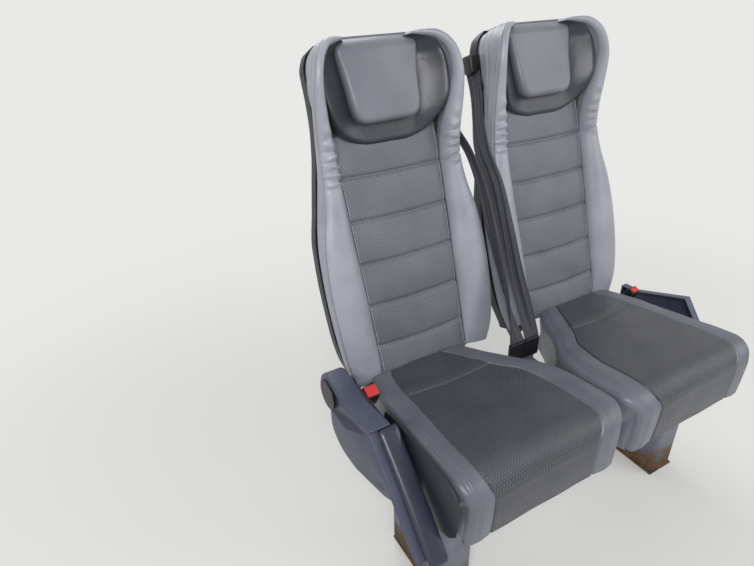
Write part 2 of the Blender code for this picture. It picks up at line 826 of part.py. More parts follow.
def make_webbing(name, side, hinge):
    """Two lengths of belt that meet beside the hinge, the upper on the back."""
    places = smooth_through(webbing_stations(name, side), WEBBING_STEPS)
    split = WEBBING_STEPS
    to_back = Matrix.Translation((ROW_X - seat_x(side), 0, 0))
    to_row = (
        Matrix.Translation((ROW_X, HINGE_Y, HINGE_Z))
        @ Matrix.Rotation(-BACK_ANGLE, 4, "X")
    )
    start = places[split].lerp(places[split + 1], WEBBING_THICKNESS / SHEATH_LENGTH)
    belt_length(f"webbing_lower_{name}", places[:split + 1], to_row)
    belt_length(f"webbing_upper_{name}", [start] + places[split + 1:], to_back, hinge)


def make_belt_anchor():
    """A plate from the rear beam up to the two sheaths."""
    top_z = BEAM_Z + BEAM_HEIGHT + SEAT_GAP
    outline = [
        (REAR_BEAM_Y - BEAM_DEPTH / 2, top_z),
        (REAR_BEAM_Y + BEAM_DEPTH / 2, top_z),
        (FRONT_Y + ANCHOR_Y + ANCHOR_PLATE / 2, top_z + ANCHOR_PLATE),
        (FRONT_Y + ANCHOR_Y + ANCHOR_PLATE / 2, ANCHOR_Z - SEAT_GAP),
        (FRONT_Y + ANCHOR_Y - ANCHOR_PLATE / 2, ANCHOR_Z - SEAT_GAP),
        (FRONT_Y + ANCHOR_Y - ANCHOR_PLATE / 2, top_z + 2 * ANCHOR_PLATE),
        (REAR_BEAM_Y - BEAM_DEPTH / 2, top_z + ANCHOR_PLATE),
    ]
    reach = WEBBING_FROM_MIDDLE + SHEATH_WIDTH / 4
    extruded("belt_anchor", outline, ROW_X - reach, ROW_X + reach, SIDE_VIEW, "painted_steel")


def make_sheath(name, side):
    x = ROW_X + side * (WEBBING_FROM_MIDDLE + SEAT_GAP)
    y = FRONT_Y + ANCHOR_Y
    sheath = box(
        f"belt_sheath_{name}",
        (x - WEBBING_WIDTH / 2, y - SHEATH_THICKNESS / 2, ANCHOR_Z),
        (x + WEBBING_WIDTH / 2, y + SHEATH_THICKNESS / 2, ANCHOR_Z + SHEATH_LENGTH),
        "black_plastic",
    )
    bevel(sheath, SHEATH_ROUND)


def make_guide(name, side, hinge):
    """The webbing's guide on the inner shoulder, shaped to the shell that carries it."""
    x = -side * (SEAT_PITCH / 2 - GUIDE_FROM_MIDDLE)
    y = fore_back(-GUIDE_BEHIND_FACE)
    z = up_back(GUIDE_UP)
    guide = box(
        f"belt_guide_{name}",
        (x - GUIDE_WIDTH / 2, y - GUIDE_DEPTH / 2, z),
        (x + GUIDE_WIDTH / 2, y + GUIDE_DEPTH / 2, z + GUIDE_HEIGHT),
        "black_plastic",
        hinge,
    )
    bevel(guide, GUIDE_ROUND)
    shell = lofted(f"guide_seat_{name}", shell_rings(SHELL_WALL + SEAT_GAP), None, hinge)
    boolean(guide, shell, "DIFFERENCE")


def make_buckle(name, side):
    """A buckle on its stalk beside the cushion, its red button facing up and forward."""
    from_middle, behind_front, height = BUCKLE_PLACES[name]
    x = ROW_X + side * from_middle
    place = (
        Matrix.Translation((x, FRONT_Y + behind_front, height))
        @ Matrix.Rotation(BUCKLE_TILT, 4, "X")
    )
    buckle = box(
        f"buckle_{name}",
        (-BUCKLE_WIDTH / 2, -BUCKLE_THICKNESS / 2, -BUCKLE_LENGTH),
        (BUCKLE_WIDTH / 2, BUCKLE_THICKNESS / 2, 0),
        "black_plastic",
        None,
        place,
    )
    bevel(buckle, BUCKLE_ROUND)
    seat = box(
        f"button_seat_{name}",
        (-BUTTON_WIDTH / 2 - SEAT_GAP, -BUTTON_HEIGHT / 2 - SEAT_GAP, -BUTTON_DEPTH),
        (BUTTON_WIDTH / 2 + SEAT_GAP, BUTTON_HEIGHT / 2 + SEAT_GAP, OVERRUN),
        None,
        None,
        place,
    )
    boolean(buckle, seat, "DIFFERENCE")
    button = box(
        f"buckle_button_{name}",
        (-BUTTON_WIDTH / 2, -BUTTON_HEIGHT / 2, -BUTTON_DEPTH + SEAT_GAP),
        (BUTTON_WIDTH / 2, BUTTON_HEIGHT / 2, BUTTON_PROUD),
        "buckle_red",
        None,
        place,
    )
    bevel(button, BUTTON_PROUD / 2)

    def in_row(y, z):
        turned = place @ Vector((0, y, z))
        return (turned.y, turned.z)

    foot_z = BEAM_Z + BEAM_HEIGHT + SEAT_GAP
    outline = [
        (REAR_BEAM_Y - STALK_WIDTH / 2, foot_z),
        (REAR_BEAM_Y + STALK_WIDTH / 2, foot_z),
        in_row(STALK_WIDTH / 2, -BUCKLE_LENGTH - SEAT_GAP),
        in_row(-STALK_WIDTH / 2, -BUCKLE_LENGTH - SEAT_GAP),
    ]
    middle = x - side * STALK_INSET
    extruded(
        f"buckle_stalk_{name}", outline, middle - STALK_THICKNESS / 2, middle + STALK_THICKNESS / 2,
        SIDE_VIEW, "bright_steel",
    )


# Armrest and covers

def arm_line(along, below):
    """A place on the dropped part of the arm: along it from the elbow and below its top."""
    forward = (-math.cos(ARM_DROP_ANGLE), -math.sin(ARM_DROP_ANGLE))
    down = (math.sin(ARM_DROP_ANGLE), -math.cos(ARM_DROP_ANGLE))
    return (
        FRONT_Y + ELBOW_Y + along * forward[0] + below * down[0],
        ELBOW_Z + along * forward[1] + below * down[1],
    )


def arm_underside(clearance):
    """The arm's lower edge from the knuckle to the tip, kept off by a clearance."""
    corner = arm_line(-ARM_DEPTH * ELBOW_CUT_SHARE, ARM_DEPTH + clearance)
    return [(ARM_PIVOT[0], ARM_PIVOT[1] - KNUCKLE_RADIUS - clearance), corner]


def make_armrest():
    hinge = bpy.data.objects.new("hinge_armrest", None)
    parts.objects.link(hinge)
    hinge.location = (ROW_X - ARM_OUTER_X, *ARM_PIVOT)
    width = ARM_OUTER_X - ARM_INNER_X

    def local(points):
        return [(y - ARM_PIVOT[0], z - ARM_PIVOT[1]) for y, z in points]

    elbow = (FRONT_Y + ELBOW_Y, ELBOW_Z)
    tip_bar = [arm_line(ARM_TIP_LENGTH, ARM_DEPTH - ARM_BAR), arm_line(ARM_TIP_LENGTH, ARM_DEPTH)]
    outline = arc(ARM_PIVOT, KNUCKLE_RADIUS, -90, 90, 12)
    outline += [elbow, arm_line(0, ARM_DEPTH - ARM_BAR)] + tip_bar
    outline += [arm_underside(0)[1]]
    arm = extruded("arm_moulding", local(outline), 0, width, SIDE_VIEW, "shield_plastic", hinge)
    bevel(arm, ARM_ROUND)
    bore = cylinder_x(
        "arm_bore", width / 2, width + OVERRUN, 0, 0, ARM_PIN_RADIUS + SEAT_GAP, None, hinge
    )
    boolean(arm, bore, "DIFFERENCE")

    pad_outline = [
        arm_line(SEAT_GAP, 0),
        arm_line(SEAT_GAP, ARM_DEPTH - ARM_BAR - SEAT_GAP),
        arm_line(ARM_TIP_LENGTH + ARM_BAR, ARM_DEPTH - ARM_BAR - SEAT_GAP),
        arm_line(ARM_TIP_LENGTH + ARM_BAR, 0),
    ]
    pad = extruded(
        "arm_pad", local(pad_outline), ARM_OUTER_X - ARM_PAD_OUTER_X, ARM_OUTER_X - ARM_PAD_INNER_X,
        SIDE_VIEW, "arm_pad", hinge,
    )
    bevel(pad, ARM_PAD_ROUND, 3)
    cap = cylinder_x(
        "arm_cap", -CAP_THICKNESS - SEAT_GAP, -SEAT_GAP, 0, 0, CAP_RADIUS, "black_plastic", hinge, 32
    )
    bevel(cap, CAP_THICKNESS / 3)


def make_arm_bracket():
    """The plate on the beams' ends that carries the armrest's pin."""
    neck_y = ARM_PIVOT[0] - BRACKET_EYE / 2
    outline = [
        (FRONT_BEAM_Y - BEAM_DEPTH / 2, BEAM_Z),
        (REAR_BEAM_Y + BEAM_DEPTH / 2, BEAM_Z),
        (neck_y + BRACKET_NECK, BEAM_Z + 2 * BEAM_HEIGHT),
    ]
    outline += arc(ARM_PIVOT, BRACKET_EYE, 0, 180, 10)
    outline += [
        (neck_y, ARM_PIVOT[1] - 2 * BRACKET_EYE),
        (REAR_BEAM_Y, BEAM_Z + BEAM_HEIGHT + BRACKET_EYE),
        (FRONT_BEAM_Y - BEAM_DEPTH / 2, BEAM_Z + BEAM_HEIGHT),
    ]
    low = ROW_X - BEAM_END_X - SEAT_GAP - BRACKET_THICKNESS
    bracket = extruded("arm_bracket", outline, low, low + BRACKET_THICKNESS, SIDE_VIEW, "painted_steel")
    pin = cylinder_x(
        "arm_pin", ROW_X - (ARM_OUTER_X + ARM_INNER_X) / 2 + RUNNING_GAP, low + BRACKET_THICKNESS / 2,
        *ARM_PIVOT, ARM_PIN_RADIUS, None,
    )
    boolean(bracket, pin, "UNION")


def make_end_bracket():
    """The plate on the beams' other ends that carries the window side's cover."""
    outline = [
        (FRONT_BEAM_Y - BEAM_DEPTH / 2, BEAM_Z),
        (REAR_BEAM_Y + BEAM_DEPTH / 2, BEAM_Z),
        (REAR_BEAM_Y + BEAM_DEPTH / 2, SHIELD_NOSE_Z),
        (FRONT_BEAM_Y + BEAM_DEPTH / 2, SHIELD_NOSE_Z),
        (FRONT_BEAM_Y - BEAM_DEPTH / 2, BEAM_Z + BEAM_HEIGHT),
    ]
    low = ROW_X + BEAM_END_X + SEAT_GAP
    extruded("end_bracket", outline, low, low + BRACKET_THICKNESS, SIDE_VIEW, "painted_steel")


def cover_outline():
    """The side cover: a curved foot, a nose under the arm and a round cut for the knuckle."""
    knuckle, corner = arm_underside(ARM_CLEARANCE)
    below = ARM_DEPTH + ARM_CLEARANCE
    along = (arm_line(0, below)[1] - SHIELD_NOSE_Z) / math.sin(ARM_DROP_ANGLE)
    nose = arm_line(along, below)
    rear_y = FRONT_Y + SHIELD_REAR_Y
    return [
        nose,
        ((nose[0] + rear_y) / 2, SHIELD_FOOT_Z + (SHIELD_NOSE_Z - SHIELD_FOOT_Z) / 4),
        (rear_y - 2 * KNUCKLE_RADIUS, SHIELD_FOOT_Z),
        (rear_y, SHIELD_FOOT_Z),
        (rear_y, knuckle[1]),
        knuckle,
        corner,
    ]


def make_cover(name, low_x, high_x, open_side):
    """A moulded cover, open towards the seat."""
    cover = extruded(name, cover_outline(), low_x, high_x, SIDE_VIEW, "shield_plastic")
    bm = bmesh.new()
    bm.from_mesh(cover.data)
    bm.faces.ensure_lookup_table()
    # The view turns the curve's own Z to the row's X, so the open face looks along the curve's Z.
    open_faces = [face for face in bm.faces if face.normal.z * open_side > 0.9]
    bmesh.ops.dissolve_faces(bm, faces=open_faces)
    bm.faces.ensure_lookup_table()
    open_faces = [face for face in bm.faces if face.normal.z * open_side > 0.9]
    bmesh.ops.inset_region(bm, faces=open_faces, thickness=SHIELD_WALL, use_even_offset=True)
    inner = bmesh.ops.extrude_discrete_faces(bm, faces=open_faces)["faces"]
    depth = high_x - low_x - SHIELD_WALL
    bmesh.ops.translate(
        bm, verts=[vert for face in inner for vert in face.verts], vec=(0, 0, -open_side * depth)
    )
    bmesh.ops.recalc_face_normals(bm, faces=bm.faces)
    bm.to_mesh(cover.data)
    bm.free()
    return cover


clear_scene()
parts = collection("twin_passenger_seat", False)
cutters = collection("cutters", True)
make_beams()
make_belt_anchor()
for seat_name, seat_side in SEATS:
    make_leg(seat_name, seat_side)
    for rail_name, offset in (("outer", seat_side), ("inner", -seat_side)):
        make_rail(f"rail_{seat_name}_{rail_name}", seat_x(seat_side) + offset * RAIL_X, -offset)
    make_pan(seat_name, seat_side)
    make_cushion(seat_name, seat_side)
    make_buckle(seat_name, seat_side)
    make_sheath(seat_name, seat_side)
    back = make_hinge(seat_name, seat_side)
    make_back_frame(seat_name, back)
    make_back_cushion(seat_name, back)
    make_collar(seat_name, back)
    make_head_pad(seat_name, back)
    make_shell(seat_name, back)
    make_guide(seat_name, seat_side, back)
    make_webbing(seat_name, seat_side, back)
make_armrest()
make_arm_bracket()
make_cover("side_shield", ROW_X - SHIELD_OUTER_X, ROW_X - SHIELD_INNER_X, 1)
make_end_bracket()
make_cover("window_end_cover", ROW_X + SHIELD_INNER_X, ROW_X + SHIELD_INNER_X + END_COVER_DEPTH, -1)
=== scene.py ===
import json
import math

import bmesh
import bpy
from mathutils import Matrix, Vector


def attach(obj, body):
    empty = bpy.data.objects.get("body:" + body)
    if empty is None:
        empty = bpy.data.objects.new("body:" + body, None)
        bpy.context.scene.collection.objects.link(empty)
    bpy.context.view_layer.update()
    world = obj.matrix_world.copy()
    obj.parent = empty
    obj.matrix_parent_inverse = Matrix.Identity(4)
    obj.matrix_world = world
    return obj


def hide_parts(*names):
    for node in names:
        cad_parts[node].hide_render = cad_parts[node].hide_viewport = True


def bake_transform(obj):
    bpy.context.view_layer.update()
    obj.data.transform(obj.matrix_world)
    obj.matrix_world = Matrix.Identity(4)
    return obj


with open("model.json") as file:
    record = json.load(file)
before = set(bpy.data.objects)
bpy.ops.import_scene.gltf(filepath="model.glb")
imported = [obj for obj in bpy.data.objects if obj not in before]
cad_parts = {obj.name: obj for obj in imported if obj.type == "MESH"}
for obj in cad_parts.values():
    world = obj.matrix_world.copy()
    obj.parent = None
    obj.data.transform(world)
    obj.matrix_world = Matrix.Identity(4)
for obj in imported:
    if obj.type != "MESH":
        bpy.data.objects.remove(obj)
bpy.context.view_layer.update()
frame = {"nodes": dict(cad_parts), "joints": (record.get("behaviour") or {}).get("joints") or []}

SEATS = ("aisle", "window")
JOINTS = {joint["name"]: joint for joint in frame["joints"]}
ROW_X = sum(JOINTS[f"recline_{seat}"]["pos_m"][0] for seat in SEATS) / 2
FRONT_Y = -0.200
MM = 0.001

# The backrest's own frame, measured from the bite: up along it, and forward of the insert's face
BACK_ANGLE = math.radians(18.56)
HINGE_BEHIND_FACE = 0.060
HINGE_BELOW_BITE = 0.050
BACK_FOOT = -0.018

# Insert of the backrest
INSERT_HALF_FOOT = 0.125
INSERT_HALF_WAIST = 0.137
INSERT_TOP = 0.600
INSERT_TUCK = 0.008
INSERT_REAR = -0.024
INSERT_CROWN = 0.005
CHANNELS_UP = (0.061, 0.161, 0.261, 0.361, 0.461)
CHANNEL_HALF_GAP = 0.0042
CHANNEL_DEPTH = 0.0038
CHANNEL_WIDTH = 0.0042
CHANNEL_BOW = 0.004
CHANNEL_PILLOW = 0.0045
CHANNEL_FULLNESS = 0.7
CHANNEL_FADE = 3
INSERT_SEAM_DEPTH = 0.004
INSERT_SEAM_WIDTH = 0.003
INSERT_TUCK_SLOPE = 0.6
CHANNEL_STITCHES_IN = 0.004
EDGE_STITCHES_IN = 0.0065
EDGE_STITCHES_PAST_WAIST = 0.090

# Slow dents of a cover where two ripples cross: their height, then the radians a metre
# across and along for one ripple, and along and across for the other
INSERT_DENTS = (0.0008, 61, 23, 47, 15)
CUSHION_DENTS = (0.0010, 33, 19, 41, 17)

# Crest of a bolster and its wing, from the foot to the tip: out from the middle, up, forward;
# then how far in and how far forward its inner seam is, how far out and how far forward its outer seam is,
# and how far out its rear edge is
BOLSTER = (
    (0.160, -0.018, 0.004, 0.035, -0.004, 0.034, -0.006, 0.021),
    (0.167, 0.040, 0.019, 0.042, 0.000, 0.043, 0.005, 0.033),
    (0.171, 0.120, 0.029, 0.044, 0.000, 0.047, 0.010, 0.037),
    (0.172, 0.220, 0.032, 0.043, 0.000, 0.0485, 0.012, 0.038),
    (0.169, 0.317, 0.032, 0.036, 0.000, 0.043, 0.012, 0.037),
    (0.162, 0.400, 0.030, 0.027, 0.000, 0.031, 0.011, 0.028),
    (0.158, 0.468, 0.033, 0.021, 0.000, 0.026, 0.015, 0.015),
    (0.162, 0.532, 0.050, 0.019, 0.014, 0.023, 0.031, -0.002),
    (0.169, 0.596, 0.073, 0.014, 0.046, 0.018, 0.058, -0.018),
    (0.170, 0.650, 0.090, 0.010, 0.070, 0.014, 0.077, -0.021),
    (0.159, 0.697, 0.092, 0.009, 0.077, 0.012, 0.080, -0.010),
    (0.136, 0.727, 0.081, 0.008, 0.068, 0.010, 0.070, 0.002),
    (0.109, 0.738, 0.063, 0.006, 0.053, 0.007, 0.053, 0.006),
    (0.086, 0.742, 0.049, 0.003, 0.045, 0.003, 0.043, 0.005),
)
# Steps along the bolster between shares of its length, closest at its gathered waist
BOLSTER_SPANS = ((0.0, 0.40, 66), (0.40, 0.64, 140), (0.64, 1.0, 100))
# Steps across its roll between shares of the way over it, closest at its seams
ROLL_SPANS = ((0.0, 0.06, 4), (0.06, 0.80, 32), (0.80, 1.0, 24))
TOPSTITCH_SHARES = (0.8833, 0.9417)
TOPSTITCH_DEPTH = 0.0026
TOPSTITCH_WIDTH = 0.012
GUSSET_REAR = -0.031
GUSSET_STEPS = 30
GUSSET_BULGE = 0.004
GUSSET_SEAMS = (0.16, 0.50, 0.84)
GUSSET_SEAM_DEPTH = 0.0036
GUSSET_SEAM_WIDTH = 0.045
TUCK_FORWARD = -0.010
TUCK_OUT = 0.003
TUCK_STEP = 0.003
REAR_TUCK_IN = 0.004
REAR_TUCK_BACK = 0.010
WAIST_UP = 0.462
WAIST_DEPTH = 0.0040
WAIST_WIDTH = 0.0026
WAIST_SLANT = 0.25
WAIST_FADE = 8
# How unlike the folds of the left and right bolster are
SIDES_UNLIKE = 0.1
# Power of their fading towards the roll's seams
FOLD_FADE = 0.6

# Folds gathered above and below the waist seam:
# up, out from the crest, half-length, half-width, slant, height
FOLDS = (
    (0.442, 0.008, 0.014, 0.0050, 0.25, -0.0022),
    (0.452, 0.002, 0.017, 0.0045, -0.20, 0.0030),
    (0.471, -0.008, 0.016, 0.0042, 0.25, 0.0050),
    (0.480, 0.005, 0.018, 0.0038, -0.15, -0.0044),
    (0.489, -0.004, 0.018, 0.0046, 0.35, 0.0046),
    (0.499, 0.007, 0.014, 0.0042, 0.10, -0.0042),
    (0.509, -0.006, 0.017, 0.0052, -0.30, 0.0044),
    (0.521, 0.004, 0.015, 0.0046, 0.20, -0.0036),
    (0.533, -0.004, 0.013, 0.0058, 0.30, 0.0034),
    (0.546, 0.005, 0.012, 0.0056, -0.20, -0.0026),
    (0.562, -0.001, 0.010, 0.0070, 0.20, 0.0022),
    (0.582, 0.003, 0.009, 0.0080, -0.15, -0.0016),
)

# Slab that closes the backrest behind its insert and over its top: up and half-width
CORE = (
    (-0.010, 0.128),
    (0.300, 0.150),
    (0.460, 0.142),
    (0.560, 0.146),
    (0.650, 0.148),
    (0.700, 0.138),
    (0.730, 0.120),
    (0.7495, 0.108),
)
CORE_REAR = -0.036
CORE_LOW_FACE = -0.012
CORE_HIGH_FACE = 0.004
CORE_ROUND = 0.005
CORE_STEP_UP = 0.500
CORE_STEP_RUN = 0.060
CORE_COLUMN_SHARES = (-1.0, -0.6, -0.2, 0.2, 0.6, 1.0)

# Shell behind the backrest: up and half-width of its middle skin
SHELL = (
    (-0.030, 0.1839),
    (0.0075, 0.1927),
    (0.0529, 0.2060),
    (0.1132, 0.2126),
    (0.2190, 0.2148),
    (0.3174, 0.2104),
    (0.4001, 0.1927),
    (0.4679, 0.1773),
    (0.5282, 0.1641),
    (0.5960, 0.1552),
    (0.6556, 0.1530),
    (0.6966, 0.1530),
    (0.7286, 0.1420),
    (0.7480, 0.1190),
)
SHELL_REAR = -0.0738
SHELL_LIP = -0.0315
SHELL_SHOULDER = 0.021
SHELL_TOP_ROUND = 0.018
SHELL_WALL = 0.003

# Collar round the headrest: share of its height and of its half-width
COLLAR_FOOT = 0.522
COLLAR_HEAD = 0.742
COLLAR_HALF_WIDTH = 0.158
COLLAR_SHARES = (
    (0.00, 0.38),
    (0.05, 0.59),
    (0.12, 0.75),
    (0.24, 0.88),
    (0.40, 0.97),
    (0.60, 1.00),
    (0.80, 0.97),
    (0.91, 0.86),
    (0.97, 0.74),
    (1.00, 0.62),
)
COLLAR_LIFT = 0.017
COLLAR_RISE = 0.052
COLLAR_RISE_RUN = 0.090
COLLAR_DIP_FROM = 0.55
COLLAR_LEAST_HALF = 0.050
COLLAR_MIDDLE = 0.640
# Height of its dents, their radians a metre across and up, and their phase
COLLAR_DENTS = (0.0012, 31, 27, 2)

# Headrest pad: share of its height and of its half-width
HEAD_FOOT = 0.566
HEAD_HEAD = 0.752
HEAD_HALF_WIDTH = 0.0955
HEAD_LIFT = 0.038
HEAD_FLOOR = 0.010
HEAD_MIDDLE = 0.655
HEAD_CROWN = 0.004
HEAD_SWELL = 0.003
HEAD_SWELL_UP = 0.600
HEAD_SWELL_WIDTH = 0.050
HEAD_FALL_FROM = 0.716
HEAD_FALL = 0.036
HEAD_SHARES = (
    (0.00, 0.62),
    (0.03, 0.76),
    (0.10, 0.86),
    (0.22, 0.91),
    (0.55, 0.98),
    (0.85, 1.07),
    (0.96, 1.08),
    (1.00, 1.03),
)

# Edge round, rings and innermost ring of the collar and the headrest pad
PILLOW_ROUND = 0.012
PILLOW_RINGS = 52
PILLOW_CORE_SHARE = 0.004

# Cushion, from its front edge and from the floor
CUSHION_DEPTH = 0.408
CUSHION_BITE = 0.440
CUSHION_SLOPE = math.tan(math.radians(5.5))
CUSHION_FOOT_Z = 0.333
CUSHION_FOOT_INSET = 0.010
CUSHION_FRONT_TUCK = 0.004
CUSHION_OUTER = 0.200
CUSHION_INNER = 0.2315
CUSHION_BORDER = 0.058
CUSHION_INNER_BORDER = 0.070
CUSHION_FULL_WIDTH = 0.400
CUSHION_LEAST_BORDER_SHARE = 0.75
CUSHION_REAR_TUCK = 0.008
CUSHION_REAR_ROUND = 0.014
CUSHION_REAR_INSET = 0.006
CUSHION_REAR_DROP = 0.045
CUSHION_REAR_FOOT_INSET = 0.010
CUSHION_FOOT_SHORTER = 0.016
CUSHION_ROLL = 0.016
CUSHION_FALL = 0.050
CUSHION_FALL_TURN = math.pi / 2 * 1.02
CUSHION_SIDE_BULGE = 0.004
CUSHION_CROWN = 0.007
CUSHION_SEAM = 0.0034
CUSHION_SEAM_WIDTH = 0.0024
BORDER_SWELL = 0.0028
BORDER_SWELL_WIDTH = 0.020
EDGE_SEAMS_IN = (0.002, 0.009)
EDGE_SEAM_DEPTH = 0.0011
EDGE_SEAM_WIDTH = 0.0016
ARC_SEAM_FROM_FRONT = 0.285
ARC_SEAM_BOW = 0.030
ARC_SEAM_DEPTH = 0.0032
ARC_SEAM_WIDTH = 0.0028
ARC_SWELL_BEHIND = 0.022
ARC_SWELL_WIDTH = 0.016
# Share of its depth, then shares of the outer and of the inner half-width
CUSHION_SHARES = (
    (0.000, 0.930, 0.900),
    (0.025, 0.970, 0.950),
    (0.110, 1.000, 1.000),
    (0.330, 0.985, 1.000),
    (0.560, 0.950, 0.930),
    (0.700, 0.925, 0.760),
    (0.850, 0.890, 0.600),
    (0.955, 0.850, 0.500),
    (1.000, 0.800, 0.440),
)

# Belts: width and thickness of the webbing, where a belt leaves its sheath and enters its shoulder guide,
# and its way between: up the back, forward of the insert's face, out from the row's middle, turn in degrees
WEBBING_WIDTH = 0.046
WEBBING_THICKNESS = 0.0015
WEBBING_FOLD = 0.0026
SHEATH_PLACE = (0.024, 0.125, 0.4540)
GUIDE_OUT = 0.068
GUIDE_UP = 0.650
GUIDE_BEHIND = -0.040
GUIDE_SIZE = (0.034, 0.034, 0.046)
GUIDE_EDGE = 0.006
BELT_INTO_GUIDE = 0.004
BELT_WAY = {
    "aisle": (
        (0.0693, 0.0820, 0.0227, 50),
        (0.1579, 0.0492, 0.0036, 70),
        (0.2764, 0.0335, 0.0031, 88),
        (0.3747, 0.0216, 0.0041, 88),
        (0.4641, 0.0037, 0.0124, 82),
        (0.5379, -0.0142, 0.0404, 84),
        (0.5960, -0.0253, 0.0564, 84),
    ),
    "window": (
        (0.0693, 0.0820, 0.0248, -15),
        (0.1579, 0.0648, 0.0258, -28),
        (0.2764, 0.0514, 0.0258, -35),
        (0.3747, 0.0358, 0.0258, -42),
        (0.4641, 0.0060, 0.0248, -60),
        (0.5379, -0.0156, 0.0423, -80),
        (0.5960, -0.0253, 0.0564, -80),
    ),
}
BELT_STEPS = 14
# Its two lengthwise folds: waves across the webbing, how far and how fast the first wanders,
# and the second's share of the height and how far it turns over on the way
BELT_FOLD_WAVES = (2.5, 1.2)
BELT_FOLD_WANDER = (0.35, 5)
BELT_SECOND_FOLD = (0.6, 0.8)
# How much narrower the folds make it, and how fast they start at its ends
BELT_NARROWED = 0.10
BELT_GATHER_RATE = 14

# Armrest and shield at the aisle, in the side view and out from the row's middle
PIVOT = (0.162, 0.485)
KNUCKLE_RADIUS = 0.046
ARM_OUT = (0.5255, 0.4775)
ARM_PAD_OUT = (0.4955, 0.4525)
ELBOW = (-0.004, 0.504)
ARM_DROP = math.radians(46.0)
ARM_TIP = 0.256
ARM_DEPTH = 0.030
ARM_BAR = 0.012
ARM_CUT_SHARE = 0.20
ARM_SWAY = 0.014
ARM_EDGE = 0.007
ARM_CLEARANCE = 0.006
# The pad's gap to the moulding, its crown, the power of its oval section, the share of its length
# over which its ends round off, and its width and depth at the ends as shares
ARM_PAD_GAP = 0.0003
ARM_PAD_CROWN = 0.003
ARM_PAD_OVAL = 0.55
ARM_PAD_END_SHARE = 0.05
ARM_PAD_END_WIDTH_SHARE = 0.86
ARM_PAD_END_DEPTH_SHARE = 0.6
SWAY_FROM = PIVOT[0] - 2 * KNUCKLE_RADIUS
SHIELD_OUT = (0.5155, 0.4636)
SHIELD_REAR_Y = 0.186
SHIELD_FOOT_Z = 0.338
SHIELD_NOSE_Z = 0.375
SHIELD_FRONT_RISE_SHARE = 0.25
SHIELD_TURN = (0.070, 0.050)
SHIELD_WALL = 0.003
SHIELD_EDGE = 0.0014

# Skirt plate beside the aisle cushion: its place, its size, and its outline as shares of that size
SKIRT_OUT = (0.4475, 0.4435)
SKIRT_FOOT_Z = 0.3056
SKIRT_TAB_Y = (-0.038, -0.078)
SKIRT_EDGE = 0.0015
SKIRT_DEPTH = 0.266
SKIRT_HEIGHT = 0.187
SKIRT_SHARES = (
    (0.61, 0.16), (0.86, 0.26), (0.97, 0.45), (1.00, 0.70), (0.97, 0.93), (0.86, 0.985),
    (0.60, 0.99), (0.34, 1.00), (0.20, 0.99), (0.11, 0.955), (0.04, 0.89), (0.01, 0.80),
    (0.00, 0.68), (0.01, 0.50), (0.03, 0.36), (0.10, 0.24), (0.22, 0.17), (0.46, 0.15),
)

# Legs: half-width, half-depth, height and wall of the folded sheet, its corner, its place and its lid,
# then half-width, half-depth and height of the sole
LEG = (0.043, 0.100, 0.275, 0.003)
LEG_CORNER = 0.012
LEG_OUT = 0.3645
LID_THICKNESS = 0.006
LID_EDGE = 0.0028
SOLE = (0.045, 0.103, 0.006)
SOLE_EDGE = 0.002

# The raised buckle: top, half-width, half-thickness, length and tilt, and its button
BUCKLE_TOP = (-0.0885, 0.100, 0.508)
BUCKLE_TILT = math.radians(28.0)
BUCKLE_HALF = (0.016, 0.015)
BUCKLE_LENGTH = 0.050
BUCKLE_EDGE = 0.004
BUTTON_HALF = (0.0140, 0.0120)
BUTTON_DEPTH = 0.006
BUTTON_PROUD = 0.002
BUTTON_EDGE = 0.0018

# Stitches: a grain of thread is four-sided, its rings given by share of its length and of its radius
STITCH_LENGTH = 0.0042
STITCH_GAP = 0.0016
STITCH_RADIUS = 0.0006
STITCH_SHARES = ((-0.5, 0.25), (-0.3, 1.0), (0.3, 1.0), (0.5, 0.25))

# Camera, fitted to the photograph's frame
CAMERA_PLACE = (-0.4894, -0.6873, 1.2555)
CAMERA_AZIMUTH = math.radians(28.278)
CAMERA_FALL = math.radians(29.030)
CAMERA_ROLL = math.radians(-2.202)
CAMERA_LENS = 25.84
CAMERA_SENSOR = 36.0

# Studio: the floor and where it fades into the backdrop, their colour, the lamps by name, place, disc and
# watts, and the room's strength as light on the object, where what is seen has 1
FLOOR_SIZE = 40.0
FLOOR_FADE = (0.8, 2.4)
STUDIO_WHITE = "#e9e9e7"
STUDIO_MIDDLE = (ROW_X, 0.1, 0.0)
LAMP_AIM = (ROW_X, 0.1, 0.6)
LAMPS = (
    ("key", (-1.6, -2.2, 2.9), 1.6, 80),
    ("fill", (2.6, -1.8, 2.0), 2.2, 26),
    ("rear", (0.6, 2.6, 2.8), 2.0, 34),
)
AROUND_LIGHT = 0.5


# Finishes

def linear(hex_colour):
    """An sRGB hex colour as linear red, green, blue and alpha."""
    parts = [int(hex_colour[i:i + 2], 16) / 255 for i in (1, 3, 5)]
    return [part / 12.92 if part <= 0.04045 else ((part + 0.055) / 1.055) ** 2.4 for part in parts] + [1.0]


def scale_of(mm):
    """A pattern's scale from the width of one grain, patch or streak in millimetres."""
    return 1.0 / (mm * MM)


def node(tree, kind, inputs=None, **settings):
    """A shader node with its settings and with its inputs set or linked."""
    made = tree.nodes.new(kind)
    for name, value in settings.items():
        setattr(made, name, value)
    for name, value in (inputs or {}).items():
        socket = made.inputs[name]
        if isinstance(value, bpy.types.NodeSocket):
            tree.links.new(value, socket)
        else:
            socket.default_value = value
    return made


def new_finish(name, roughness, metallic=0.0, ior=1.5):
    made = bpy.data.materials.new(name)
    made.use_nodes = True
    tree = made.node_tree
    shader = tree.nodes["Principled BSDF"]
    shader.inputs["Roughness"].default_value = roughness
    shader.inputs["Metallic"].default_value = metallic
    shader.inputs["IOR"].default_value = ior
    return made, tree, shader


